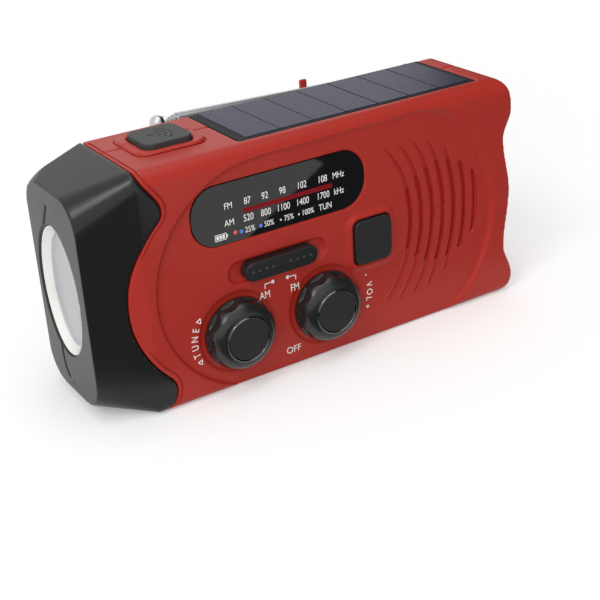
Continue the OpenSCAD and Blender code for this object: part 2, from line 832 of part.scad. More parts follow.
module ferrite_clips() color("#e6e2d6") difference() {
    for (x = clip_xs) translate([x - clip_size[0] / 2, board_back, ferrite_at[1] - ferrite_r - 1])
        cube(clip_size);
    ferrite_bar(ferrite_x[0], ferrite_x[1], ferrite_r + seat);
}

// Antenna pieces are drawn along the rod, with the distance from the pivot as height
module along_rod() { translate(pivot) rotate([0, rod_tilt - 90, 0]) children(); }

module antenna_bracket() color(steel) {
    difference() {
        for (y = [fork_in - fork_t, fork_out]) {
            translate([pivot[0] - fork_r, y, shelf_z]) cube([2 * fork_r, fork_t, pivot[2] - shelf_z]);
            rod_y([pivot[0], pivot[2]], fork_r, y, y + fork_t);
        }
        rod_y([pivot[0], pivot[2]], antenna_pin_r + seat / 2, fork_in - 2, fork_out + 2);
    }
    translate([pivot[0] + fork_r - eps, fork_in - fork_t, shelf_z])
        cube([fork_t, fork_out - fork_in + 2 * fork_t, fork_strap]);
}

module antenna_pin() color(steel) {
    rod_y([pivot[0], pivot[2]], antenna_pin_r, fork_in - fork_t, fork_out + fork_t);
}

function tube_r(i) = rod_r - i * rod_step;
function tube_end(i) = rod_l + i * rod_show;

// One tube of the rod, bored for the next one
module tube(i) {
    from = rod_lap * (i + 1);
    difference() {
        along_rod() translate([0, 0, from]) cylinder(h = tube_end(i) - from, r = tube_r(i));
        along_rod() translate([0, 0, from + rod_lap - 2])
            cylinder(h = tube_end(i), r = tube_r(i) - rod_wall);
    }
}

module antenna_tube_1() color(steel) {
    difference() {
        union() {
            tube(0);
            along_rod() cylinder(h = rod_lap + 1, r = rod_r - rod_step);
            rod_y([pivot[0], pivot[2]], rod_r, pivot[1] - rod_r, pivot[1] + rod_r);
        }
        rod_y([pivot[0], pivot[2]], antenna_pin_r + run, pivot[1] - 2 * rod_r, pivot[1] + 2 * rod_r);
    }
}

module antenna_tube_2() color(steel) tube(1);

module antenna_tube_3() color(steel) tube(2);

module antenna_tube_4() color(steel) {
    from = rod_lap * 4;
    along_rod() translate([0, 0, from]) cylinder(h = tube_end(3) + 1 - from, r = tube_r(3));
}

module antenna_tip() color(steel) {
    along_rod() translate([0, 0, tube_end(3) + 0.3]) difference() {
        rotate_extrude() polygon(concat([[0, 0], [tip_r, 0]], arc([0.5, tip_r], tip_r, -45, 90, 10),
            [[0, 2 * tip_r]]));
        translate([0, 0, -1]) cylinder(h = 1.8, r = tube_r(3) + seat / 2);
    }
}

// Involute gear with shortened teeth, thinned for backlash
function involute(r, base) = let (a = acos(min(1, base / r))) tan(a) * 180 / PI - a;
module gear_outline(teeth, turn) {
    pitch_r = teeth * gear_m / 2;
    base = pitch_r * cos(gear_angle);
    tip = pitch_r + 0.75 * gear_m;
    root = pitch_r - gear_m;
    low = max(root, base);
    steps = 4;
    half_tooth = 90 / teeth - backlash / 2 / pitch_r * 180 / PI;
    flank = [for (i = [0:steps]) let (r = low + (tip - low) * i / steps)
        [r, half_tooth + involute(pitch_r, base) - involute(r, base)]];
    tooth = concat([[root, -flank[0][1]]], [for (f = flank) [f[0], -f[1]]],
        [for (i = [steps:-1:0]) flank[i]], [[root, flank[0][1]]]);
    polygon([for (i = [0:teeth - 1]) for (p = tooth)
        p[0] * [cos(turn + 360 * i / teeth + p[1]), sin(turn + 360 * i / teeth + p[1])]]);
}

module gear(at, teeth, turn, y0, y1) { along_y(y0, y1) translate(at) gear_outline(teeth, turn); }

module crank_spindle() color(steel) difference() {
    union() {
        rod_y(crank_at, crank_r, idler_y - 0.3, arm_y + arm_t - 0.6);
        rod_y(crank_at, crank_r - 1, plate_y, idler_y);
    }
    rod_y(crank_at, screw_r + seat / 2, arm_y - 1, arm_y + arm_t);
}

module crank_gear() color("#e8e4d0") difference() {
    gear(crank_at, teeth_crank, idler_dir, gear_y, gear_y + gear_t);
    rod_y(crank_at, crank_r + seat / 2, gear_y - 1, gear_y + gear_t + 1);
}

module crank_bush() color("#b08a4a") difference() {
    union() {
        rod_y(crank_at, crank_r + run + bush_t, dish_in - 0.5, dish_y);
        rod_y(crank_at, crank_r + run + bush_t + bush_lip, dish_in - 0.5, dish_in);
    }
    rod_y(crank_at, crank_r + run, dish_in - 1, dish_y + 1);
}

module crank_arm() color(black) {
    slot_x = crank_r + 2.9;
    slot_w = 2 * grip_r + 0.8;
    difference() {
        along_y(arm_y, arm_y + arm_t) translate(crank_at) {
            circle(arm_w / 2);
            translate([0, -arm_w / 2]) square([arm_end - 1.5, arm_w]);
            translate([arm_end - 3, 0]) rounded([6, arm_w], 1.5);
        }
        along_y(arm_y - 1, arm_y + arm_t + 1) translate(crank_at + [slot_x, -slot_w / 2])
            square([arm_end, slot_w]);
        rod_y(crank_at, crank_r + seat / 2, arm_y - 1, arm_y + arm_t + 1);
        translate([hinge_at[0], hinge_at[1], hinge_at[2] - arm_w])
            cylinder(h = 2 * arm_w, r = hinge_pin_r + seat / 2);
    }
}

module crank_screw() color(steel) {
    rod_y(crank_at, crank_r + 1, arm_y + arm_t, arm_y + arm_t + 1.2);
    rod_y(crank_at, screw_r, arm_y, arm_y + arm_t + eps);
}

module grip_post() color("#3a3a3a") {
    width = 2 * grip_r;
    difference() {
        union() {
            translate(hinge_at - [0, 0, width / 2]) cylinder(h = width, r = hinge_r);
            translate(hinge_at) rotate([0, -90, 0]) cylinder(h = hinge_r + grip_l - 1, r = grip_post_r);
        }
        translate(hinge_at - [0, 0, width]) cylinder(h = 2 * width, r = hinge_pin_r + run);
    }
}

module grip_hinge_pin() color(steel) {
    translate(hinge_at - [0, 0, arm_w / 2]) cylinder(h = arm_w, r = hinge_pin_r);
}

module crank_grip() color(black) {
    translate(hinge_at) rotate([0, -90, 0]) translate([0, 0, hinge_r + grip_gap]) difference() {
        rotate_extrude() polygon(concat([[0, 0], [grip_r - 0.8, 0], [grip_r - 0.3, 1]],
            arc([grip_r - 1.5, grip_l - 1.5], 1.5, 0, 90, 5), [[0, grip_l]]));
        translate([0, 0, -1]) cylinder(h = grip_l - 0.2, r = grip_post_r + run);
    }
}

module idler_pin() color(steel) rod_y(idler_at, idler_pin_r, plate_y, dish_in + 0.9);

module idler_gear() color("#e8e4d0") difference() {
    union() {
        gear(idler_at, teeth_idler, rotor_dir, idler_y, idler_y + gear_t);
        gear(idler_at, teeth_pinion, idler_dir + 180 + 180 / teeth_pinion,
            idler_y + gear_t - eps, dish_in - 0.8);
        rod_y(idler_at, 2.4, plate_y + plate_t + 0.3, idler_y + eps);
    }
    rod_y(idler_at, idler_pin_r + run, plate_y, dish_in);
}

module gear_plate() color("#a8a8ac") difference() {
    slab(plate_box, plate_y, plate_y + plate_t);
    rod_y(crank_at, crank_r - 1 + run, plate_y - 1, plate_y + plate_t + 1);
    rod_y(idler_at, idler_pin_r + seat / 2, plate_y - 1, plate_y + plate_t + 1);
    rod_y(rotor_at, rotor_shaft_r + run, plate_y - 1, plate_y + plate_t + 1);
    for (p = plate_posts) rod_y(p, pilot_r + seat, plate_y - 1, plate_y + plate_t + 1);
    for (b = bosses) rod_y(b, boss_r + play, plate_y - 1, plate_y + plate_t + 1);
}

module gear_plate_screws() color(steel) for (p = plate_posts) small_screw(p, plate_y, true);

module dynamo_can() color("#b8b8bc") difference() {
    rod_y(rotor_at, dynamo_r, plate_y - dynamo_l, plate_y);
    rod_y(rotor_at, dynamo_r - dynamo_skin, plate_y - dynamo_l + 1, plate_y + 1);
    rod_y(rotor_at, rotor_shaft_r + run, plate_y - dynamo_l - 1, plate_y);
}

module dynamo_coil() color("#b06a2a") difference() {
    rod_y(rotor_at, dynamo_r - dynamo_skin - seat, plate_y - dynamo_l + 1.5, plate_y - 0.5);
    rod_y(rotor_at, rotor_r + rotor_gap, plate_y - dynamo_l, plate_y);
}

module dynamo_rotor() color("#707078") {
    rod_y(rotor_at, rotor_shaft_r, plate_y - dynamo_l + 0.2, idler_y + gear_t + 0.6);
    rod_y(rotor_at, rotor_r, plate_y - dynamo_l + 2, plate_y - 1.5);
    gear(rotor_at, teeth_rotor, rotor_dir + 180 + 180 / teeth_rotor, idler_y - 0.2, idler_y + gear_t + 0.3);
}

module charge_board() color(green) difference() {
    slab(charge_box, charge_y, charge_y + board_t);
    for (p = charge_posts) rod_y(p, pilot_r + seat, charge_y - 1, charge_y + board_t + 1);
}

module usb_a_socket() color(steel) {
    inner = [usb[0], usb[1] - 2 * usb_skin, usb[2] - 2 * usb_skin];
    tongue = [7, 1.8, 11];
    translate([usb_mouth - usb[0], 0, usb_z]) {
        difference() {
            translate([0, -usb[1] / 2, -usb[2] / 2]) cube(usb);
            translate([2, -inner[1] / 2, -inner[2] / 2]) cube(inner);
        }
        translate([2 - eps, inner[1] / 2 - tongue[1] - 0.7, -tongue[2] / 2]) cube(tongue);
    }
}

module micro_usb_socket() color(steel) {
    translate([usb_mouth - micro[0] + 1, charge_y - micro[1], micro_z - micro[2] / 2]) difference() {
        cube(micro);
        translate([1, 0.3, 0.3]) cube([micro[0], micro[1] - 0.6, micro[2] - 0.6]);
    }
}

module case_screws() color(steel) {
    for (b = bosses) {
        rod_y(b, screw_head_r, screw_head_y, screw_head_y + screw_head_t);
        rod_y(b, screw_r, screw_tip_y, screw_head_y + eps);
    }
}

front_shell();
rear_shell();
lamp_cap_front();
lamp_cap_rear();
lamp_lens();
lamp_reflector();
lamp_board();
lamp_led();
dial_window();
solar_panel();
tuning_knob();
tuning_spindle();
tuning_capacitor();
volume_knob();
volume_spindle();
volume_control();
band_slider();
band_switch();
light_button();
light_switch();
alarm_button();
alarm_switch();
alarm_board();
main_board();
board_screws();
speaker_frame();
speaker_cone();
speaker_magnet();
battery_cell();
battery_holder();
ferrite_rod();
ferrite_coil();
ferrite_clips();
antenna_bracket();
antenna_pin();
antenna_tube_1();
antenna_tube_2();
antenna_tube_3();
antenna_tube_4();
antenna_tip();
crank_spindle();
crank_gear();
crank_bush();
crank_arm();
crank_screw();
grip_post();
grip_hinge_pin();
crank_grip();
idler_pin();
idler_gear();
gear_plate();
gear_plate_screws();
dynamo_can();
dynamo_coil();
dynamo_rotor();
charge_board();
usb_a_socket();
micro_usb_socket();
case_screws();
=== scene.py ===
"""Looks of a hand-crank emergency radio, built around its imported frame.

Sizes are in millimetres and are turned into metres where meshes are made; only the stage is in metres.
X runs from the lamp end to the socket end, Y from front to rear, Z up.
"""

import json
import math

import bmesh
import bpy
import numpy as np
from mathutils import Matrix, Vector


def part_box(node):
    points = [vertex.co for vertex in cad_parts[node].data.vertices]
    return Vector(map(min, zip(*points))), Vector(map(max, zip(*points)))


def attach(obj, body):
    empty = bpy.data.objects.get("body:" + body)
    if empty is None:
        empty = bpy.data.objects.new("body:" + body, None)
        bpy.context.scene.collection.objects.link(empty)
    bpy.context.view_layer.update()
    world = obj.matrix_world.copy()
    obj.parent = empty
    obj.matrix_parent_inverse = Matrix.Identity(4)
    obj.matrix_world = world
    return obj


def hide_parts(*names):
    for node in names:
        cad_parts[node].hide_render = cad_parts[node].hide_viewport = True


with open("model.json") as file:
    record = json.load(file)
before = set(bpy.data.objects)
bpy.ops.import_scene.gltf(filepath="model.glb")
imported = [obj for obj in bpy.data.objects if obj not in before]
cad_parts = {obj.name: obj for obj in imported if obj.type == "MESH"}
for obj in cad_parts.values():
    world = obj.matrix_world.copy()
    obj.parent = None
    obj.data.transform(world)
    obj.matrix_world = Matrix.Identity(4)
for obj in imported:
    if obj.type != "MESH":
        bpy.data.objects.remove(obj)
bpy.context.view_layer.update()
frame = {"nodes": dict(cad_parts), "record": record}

MM = 0.001


def node_box(node):
    """Lowest and highest corner of a CAD node, in millimetres."""
    low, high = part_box(node)
    return low / MM, high / MM


def node_middle(node):
    low, high = node_box(node)
    return (low + high) / 2


PANEL_Y = node_box("dial_window")[0].y
SOLAR_LOW, SOLAR_HIGH = node_box("solar_panel")
SLIDER_LOW, SLIDER_HIGH = node_box("band_slider")
LENS_LOW, LENS_HIGH = node_box("lamp_lens")
LENS_MID = node_middle("lamp_lens")
SPEAKER_LOW, SPEAKER_HIGH = node_box("speaker_frame")
SPEAKER_MID = node_middle("speaker_frame")
SPEAKER_R = (SPEAKER_HIGH.x - SPEAKER_LOW.x) / 2
ALARM_MID = node_middle("alarm_button")
ALARM_TOP = node_box("alarm_button")[1].z
TUNING = node_middle("tuning_knob")
VOLUME = node_middle("volume_knob")
FACE_X = node_box("lamp_cap_front")[0].x


# Meshes

def mesh_of(bm, name):
    """A mesh with its faces turned outwards; the bmesh is freed."""
    bmesh.ops.recalc_face_normals(bm, faces=bm.faces[:])
    mesh = bpy.data.meshes.new(name)
    bm.to_mesh(mesh)
    bm.free()
    return mesh


def loose_object(name, data):
    """An object in the scene that rides on no body yet."""
    obj = bpy.data.objects.new(name, data)
    bpy.context.scene.collection.objects.link(obj)
    return obj


def add_piece(name, mesh, body, finish, smooth=True):
    """A new piece that rides on a body and takes the finish it is given."""
    if smooth:
        mesh.shade_smooth()
    obj = loose_object(name, mesh)
    mesh.materials.clear()
    mesh.materials.append(finish)
    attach(obj, body)
    return obj


def shaped(obj):
    """The object's mesh with its modifiers applied; the object itself is removed."""
    graph = bpy.context.evaluated_depsgraph_get()
    mesh = bpy.data.meshes.new_from_object(obj.evaluated_get(graph))
    bpy.data.objects.remove(obj)
    return mesh


def voxels(size):
    return "REMESH", {"mode": "VOXEL", "voxel_size": size * MM}


def soften(passes, group=""):
    return "SMOOTH", {"factor": 0.5, "iterations": passes, "vertex_group": group}


def cut_away(cutter):
    return "BOOLEAN", {"operation": "DIFFERENCE", "solver": "MANIFOLD", "object": cutter}


def add_steps(obj, steps):
    for kind, settings in steps:
        step = obj.modifiers.new(kind.lower(), kind)
        for setting, value in settings.items():
            setattr(step, setting, value)


def moulded(nodes, voxel, passes, share=1.0, soft_cut=None, sharp_cut=None, softer=()):
    """Mesh of one or more CAD nodes fused together, with edges rounded as a moulding's are.

    soft_cut is a bmesh that is cut out before the edges are rounded, and sharp_cut one that is cut out
    after that. softer holds pairs: a test that picks points by their place in millimetres, and how many
    more passes round them. share is the part of the faces that is kept.
    """
    bm = bmesh.new()
    for node in nodes:
        bm.from_mesh(frame["nodes"][node].data)
    mesh = bpy.data.meshes.new("fused")
    bm.to_mesh(mesh)
    bm.free()
    obj = loose_object("fused", mesh)
    cutters = [loose_object("cutter", mesh_of(cut, "cutter")) if cut else None
               for cut in (soft_cut, sharp_cut)]
    add_steps(obj, [voxels(voxel)])
    if soft_cut:
        add_steps(obj, [cut_away(cutters[0]), voxels(voxel)])
    mesh = shaped(obj)
    obj = loose_object("rounded", mesh)
    points = np.empty(len(mesh.vertices) * 3)
    mesh.vertices.foreach_get("co", points)
    for picks, more_passes in softer:
        chosen = np.flatnonzero(picks(*(points.reshape(-1, 3).T / MM)))
        obj.vertex_groups.new(name=picks.__name__).add(chosen.tolist(), 1, "REPLACE")
        add_steps(obj, [soften(more_passes, picks.__name__)])
    add_steps(obj, [soften(passes)])
    if sharp_cut:
        add_steps(obj, [cut_away(cutters[1])])
    if share < 1:
        add_steps(obj, [("DECIMATE", {"ratio": share})])
    mesh = shaped(obj)
    for cutter in cutters:
        if cutter is not None:
            bpy.data.objects.remove(cutter)
    return mesh


def add_box(bm, low, high):
    size = Vector(high) - Vector(low)
    middle = (Vector(high) + Vector(low)) / 2
    place = Matrix.Translation(middle * MM) @ Matrix.Diagonal((*(size * MM), 1))
    bmesh.ops.create_cube(bm, size=1, matrix=place)


def add_ball(bm, at, r, squash=(1, 1, 1)):
    place = Matrix.Translation(Vector(at) * MM) @ Matrix.Diagonal((*(Vector(squash) * r * MM), 1))
    bmesh.ops.create_uvsphere(bm, u_segments=24, v_segments=14, radius=1, matrix=place)


def add_disc(bm, at, r, depth, axis):
    """A short cylinder whose flat faces look along an axis."""
    turn = Vector((0, 0, 1)).rotation_difference(Vector(axis)).to_matrix().to_4x4()
    place = Matrix.Translation(Vector(at) * MM) @ turn
    bmesh.ops.create_cone(bm, cap_ends=True, segments=40, radius1=r * MM, radius2=r * MM,
                          depth=depth * MM, matrix=place)


def join_rings(bm, rings):
    """Faces between each ring of points and the next."""
    for a, b in zip(rings, rings[1:]):
        for k in range(len(a)):
            after = (k + 1) % len(a)
            bm.faces.new((a[k], a[after], b[after], b[k]))


NEARLY_Y = 0.9


def add_tube(bm, points, r, closed=False, sides=10):
    """A round tube along points, with one radius or a radius for each; an open one gets flat ends."""
    rings = []
    count = len(points)
    radii = r if isinstance(r, list) else [r] * count
    for i, point in enumerate(points):
        before = points[i - 1] if closed or i else points[0]
        after = points[(i + 1) % count] if closed or i < count - 1 else points[-1]
        along = (Vector(after) - Vector(before)).normalized()
        side = along.orthogonal() if abs(along.y) > NEARLY_Y else along.cross(Vector((0, 1, 0)))
        side.normalize()
        up = along.cross(side)
        turns = [2 * math.pi * k / sides for k in range(sides)]
        rings.append([bm.verts.new((Vector(point) + radii[i] * (side * math.cos(t) + up * math.sin(t))) * MM)
                      for t in turns])
    pairs = list(zip(rings, rings[1:]))
    if closed:
        pairs.append((rings[-1], rings[0]))
    else:
        bm.faces.new(rings[0][::-1])
        bm.faces.new(rings[-1])
    for pair in pairs:
        join_rings(bm, pair)


def rounded_loop(middle, half, r, steps=6):
    """Points round an upright-facing rectangle with round corners, at the height of middle."""
    points = []
    for quarter, (sx, sy) in enumerate(((1, 1), (-1, 1), (-1, -1), (1, -1))):
        for i in range(steps + 1):
            a = math.radians(90 * quarter + 90 * i / steps)
            points.append(Vector((middle[0] + sx * (half[0] - r) + r * math.cos(a),
                                  middle[1] + sy * (half[1] - r) + r * math.sin(a), middle[2])))
    return points


ARC_STEPS = 24


def arc_points(middle, r, start, end, across, up, steps=ARC_STEPS):
    """Points on an arc round middle, in the plane of two unit vectors; angles in degrees."""
    angles = [math.radians(start + (end - start) * i / steps) for i in range(steps + 1)]
    return [Vector(middle) + r * (Vector(across) * math.cos(a) + Vector(up) * math.sin(a)) for a in angles]


def front_arc(middle, r, start, end, steps=ARC_STEPS):
    """Points on an arc that faces the front, with angles from X towards Z."""
    return arc_points(middle, r, start, end, (1, 0, 0), (0, 0, 1), steps)


def front_ring(middle, r, steps):
    """Points all round a circle that faces the front."""
    return front_arc(middle, r, 0, 360 - 360 / steps, steps - 1)


# Shader groups shared by the finishes

NOISE_MIDDLE = 0.5


def new_group(name, inputs, outputs):
    group = bpy.data.node_groups.new(name, "ShaderNodeTree")
    for socket, kind, value in inputs:
        made = group.interface.new_socket(socket, in_out="INPUT", socket_type=kind)
        made.default_value = value
    for socket, kind in outputs:
        group.interface.new_socket(socket, in_out="OUTPUT", socket_type=kind)
    return group, group.nodes.new("NodeGroupInput"), group.nodes.new("NodeGroupOutput")


def math_node(tree, operation, a, b=None):
    node = tree.nodes.new("ShaderNodeMath")
    node.operation = operation
    for socket, value in zip(node.inputs, (a, b)):
        if value is None:
            continue
        if isinstance(value, (int, float)):
            socket.default_value = value
        else:
            tree.links.new(value, socket)
    return node.outputs[0]


def noise(tree, place, scale, detail):
    node = tree.nodes.new("ShaderNodeTexNoise")
    node.inputs["Detail"].default_value = detail
    tree.links.new(place, node.inputs["Vector"])
    if isinstance(scale, (int, float)):
        node.inputs["Scale"].default_value = scale
    else:
        tree.links.new(scale, node.inputs["Scale"])
    return node.outputs["Fac"]


# Sockets of a mix node that mixes colours

MIX_INPUTS = (0, 6, 7)
MIX_RESULT = 2


def mix_colour(tree, share, a, b, blend="MIX"):
    node = tree.nodes.new("ShaderNodeMix")
    node.data_type = "RGBA"
    node.blend_type = blend
    for place, value in zip(MIX_INPUTS, (share, a, b)):
        socket = node.inputs[place]
        if isinstance(value, (int, float)):
            socket.default_value = value
        elif isinstance(value, tuple):
            socket.default_value = (*value, 1)
        else:
            tree.links.new(value, socket)
    return node.outputs[MIX_RESULT]


def swing(group, amount, pattern):
    """A change up and down, by an amount, that follows a noise pattern."""
    return math_node(group, "MULTIPLY", amount, math_node(group, "SUBTRACT", pattern, NOISE_MIDDLE))


def shaded(group, colour, change):
    """A colour made lighter or darker by a change."""
    scaled = group.nodes.new("ShaderNodeVectorMath")
    scaled.operation = "SCALE"
    group.links.new(colour, scaled.inputs[0])
    group.links.new(math_node(group, "ADD", 1, change), scaled.inputs["Scale"])
    return scaled.outputs[0]


def grain_group():
    """Moulded surface: a cloudy colour, an uneven gloss and a fine eroded grain."""
    group, given, out = new_group(
        "moulded grain",
        [("Colour", "NodeSocketColor", (0.5, 0.5, 0.5, 1)), ("Clouds", "NodeSocketFloat", 0.1),
         ("Roughness", "NodeSocketFloat", 0.4), ("Unevenness", "NodeSocketFloat", 0.08),
         ("Grain per metre", "NodeSocketFloat", 3000)],
        [("Colour", "NodeSocketColor"), ("Roughness", "NodeSocketFloat"), ("Height", "NodeSocketFloat")])
    place = group.nodes.new("ShaderNodeTexCoord").outputs["Object"]
    clouds = swing(group, given.outputs["Clouds"], noise(group, place, scale=45, detail=4))
    group.links.new(shaded(group, given.outputs["Colour"], clouds), out.inputs["Colour"])
    grain = noise(group, place, scale=given.outputs["Grain per metre"], detail=3)
    uneven = swing(group, given.outputs["Unevenness"], noise(group, place, scale=160, detail=3))
    group.links.new(math_node(group, "ADD", given.outputs["Roughness"], uneven), out.inputs["Roughness"])
    group.links.new(grain, out.inputs["Height"])
    return group


def brushed_group():
    """Metal: faint streaks along X in colour, gloss and height."""
    group, given, out = new_group(
        "drawn metal",
        [("Colour", "NodeSocketColor", (0.7, 0.7, 0.7, 1)), ("Roughness", "NodeSocketFloat", 0.2),
         ("Streaks", "NodeSocketFloat", 0.1)],
        [("Colour", "NodeSocketColor"), ("Roughness", "NodeSocketFloat"), ("Height", "NodeSocketFloat")])
    place = group.nodes.new("ShaderNodeTexCoord").outputs["Object"]
    stretch = group.nodes.new("ShaderNodeMapping")
    stretch.inputs["Scale"].default_value = (60, 2500, 2500)
    group.links.new(place, stretch.inputs["Vector"])
    streak = noise(group, stretch.outputs[0], scale=1, detail=3)
    change = swing(group, given.outputs["Streaks"], streak)
    group.links.new(shaded(group, given.outputs["Colour"], change), out.inputs["Colour"])
    group.links.new(math_node(group, "ADD", given.outputs["Roughness"], change), out.inputs["Roughness"])
    group.links.new(streak, out.inputs["Height"])
    return group


GRAIN = grain_group()
BRUSHED = brushed_group()


# Finishes

def blank_finish(name):
    finish = bpy.data.materials.new(name)
    finish.use_nodes = True
    tree = finish.node_tree
    return finish, tree, tree.nodes["Principled BSDF"]


def bump_into(tree, shader, height, strength, distance):
    bump = tree.nodes.new("ShaderNodeBump")
    bump.inputs["Strength"].default_value = strength
    bump.inputs["Distance"].default_value = distance * MM
    tree.links.new(height, bump.inputs["Height"])
    tree.links.new(bump.outputs["Normal"], shader.inputs["Normal"])


def grouped_finish(name, group, settings, bump, depth):
    """A finish whose colour, gloss and height come from a shared group."""
    finish, tree, shader = blank_finish(name)
    surface = tree.nodes.new("ShaderNodeGroup")
    surface.node_tree = group
    for socket, value in settings.items():
        surface.inputs[socket].default_value = value
    tree.links.new(surface.outputs["Colour"], shader.inputs["Base Color"])
    tree.links.new(surface.outputs["Roughness"], shader.inputs["Roughness"])
    bump_into(tree, shader, surface.outputs["Height"], bump, depth)
    return finish, shader


GRAIN_DEPTH = 0.05
STREAK_DEPTH = 0.02


def plastic(name, colour, roughness, shine=0.5, clouds=0.1, uneven=0.08, grain=3000, bump=0.12):
    settings = {"Colour": (*colour, 1), "Clouds": clouds, "Roughness": roughness, "Unevenness": uneven,
                "Grain per metre": grain}
    finish, shader = grouped_finish(name, GRAIN, settings, bump, GRAIN_DEPTH)
    shader.inputs["Specular IOR Level"].default_value = shine
    return finish


def metal(name, colour, roughness, streaks=0.08, bump=0.04):
    settings = {"Colour": (*colour, 1), "Roughness": roughness, "Streaks": streaks}
    finish, shader = grouped_finish(name, BRUSHED, settings, bump, STREAK_DEPTH)
    shader.inputs["Metallic"].default_value = 1
    return finish


LENS_FRONT = 0.35
LENS_WALL = 2.3
LENS_CROWN = 0.3
LENS_FLOOR_FOOT = 0.2
LENS_FLOOR = LENS_FRONT + LENS_WALL - LENS_CROWN - LENS_FLOOR_FOOT
# Painted light on the lens wall and painted shade on its floor
LENS_WALL_PAINTED_LIGHT = (0.93, 0.93, 0.89)
LENS_FLOOR_PAINTED_SHADE = (0.54, 0.54, 0.56)
LENS_STAIN = 0.1
LENS_ROUGHNESS = 0.12
LENS_UNEVEN = 0.2


def clear_lens():
    """Clear moulded lens that lets lamp light through: a wall coloured bright as painted light round a floor
    coloured greyer as painted shade.
    """
    finish, tree, shader = blank_finish("clear lens")
    shader.inputs["Transmission Weight"].default_value = 0.18
    shader.inputs["IOR"].default_value = 1.49
    place = tree.nodes.new("ShaderNodeTexCoord").outputs["Object"]
    ripple = noise(tree, place, scale=220, detail=2)
    split = tree.nodes.new("ShaderNodeSeparateXYZ")
    tree.links.new(place, split.inputs[0])
    # Painted light and shade: past this depth the floor is coloured greyer, and the wall before it brighter
    floor = math_node(tree, "GREATER_THAN", split.outputs["X"], (FACE_X + LENS_FLOOR) * MM)
    colour = mix_colour(tree, floor, LENS_WALL_PAINTED_LIGHT, LENS_FLOOR_PAINTED_SHADE)
    stain = noise(tree, place, scale=60, detail=2)
    tree.links.new(mix_colour(tree, LENS_STAIN, colour, stain, "MULTIPLY"), shader.inputs["Base Color"])
    rough = math_node(tree, "ADD", LENS_ROUGHNESS, math_node(tree, "MULTIPLY", ripple, LENS_UNEVEN))
    tree.links.new(rough, shader.inputs["Roughness"])
    bump_into(tree, shader, ripple, strength=0.05, distance=0.1)
    passing = tree.nodes.new("ShaderNodeBsdfTransparent")
    passing.inputs["Color"].default_value = (0.92, 0.93, 0.93, 1)
    mix = tree.nodes.new("ShaderNodeMixShader")
    light = tree.nodes.new("ShaderNodeLightPath")
    tree.links.new(light.outputs["Is Shadow Ray"], mix.inputs[0])
    tree.links.new(shader.outputs[0], mix.inputs[1])
    tree.links.new(passing.outputs[0], mix.inputs[2])
    tree.links.new(mix.outputs[0], tree.nodes["Material Output"].inputs["Surface"])
    return finish


SOLAR_LINE_PITCH = 1.1
SOLAR_LINE_SHARE = 0.25
SOLAR_LINE_STRENGTH = 0.6
SOLAR_LINE_COLOUR = (0.09, 0.09, 0.14)
SOLAR_DARK = (0.012, 0.012, 0.036)
SOLAR_PALE = (0.018, 0.018, 0.046)
SOLAR_ROUGHNESS = 0.22
SOLAR_UNEVEN = 0.1


def solar_cell_finish():
    """Grey violet cells with fine pale fingers across them."""
    finish, tree, shader = blank_finish("solar cell")
    split = tree.nodes.new("ShaderNodeSeparateXYZ")
    place = tree.nodes.new("ShaderNodeTexCoord").outputs["Object"]
    tree.links.new(place, split.inputs[0])
    step = math_node(tree, "FRACT", math_node(tree, "DIVIDE", split.outputs["X"], SOLAR_LINE_PITCH * MM))
    finger = math_node(tree, "LESS_THAN", step, SOLAR_LINE_SHARE)
    cloud = noise(tree, place, scale=300, detail=4)
    cell = mix_colour(tree, cloud, SOLAR_DARK, SOLAR_PALE)
    line = math_node(tree, "MULTIPLY", finger, SOLAR_LINE_STRENGTH)
    tree.links.new(mix_colour(tree, line, cell, SOLAR_LINE_COLOUR), shader.inputs["Base Color"])
    rough = math_node(tree, "ADD", SOLAR_ROUGHNESS, math_node(tree, "MULTIPLY", cloud, SOLAR_UNEVEN))
    tree.links.new(rough, shader.inputs["Roughness"])
    shader.inputs["Specular IOR Level"].default_value = 0.12
    bump_into(tree, shader, finger, strength=0.3, distance=0.03)
    return finish


BOARD_GREEN = (0.03, 0.15, 0.05)
TRACK_GREEN = (0.06, 0.24, 0.09)


def board_finish():
    """Green laminate with lighter tracks."""
    finish, tree, shader = blank_finish("circuit board")
    place = tree.nodes.new("ShaderNodeTexCoord").outputs["Object"]
    bricks = tree.nodes.new("ShaderNodeTexBrick")
    bricks.inputs["Scale"].default_value = 260
    bricks.inputs["Mortar Size"].default_value = 0.03
    tree.links.new(place, bricks.inputs["Vector"])
    colour = mix_colour(tree, bricks.outputs["Fac"], BOARD_GREEN, TRACK_GREEN)
    tree.links.new(colour, shader.inputs["Base Color"])
    shader.inputs["Roughness"].default_value = 0.35
    return finish


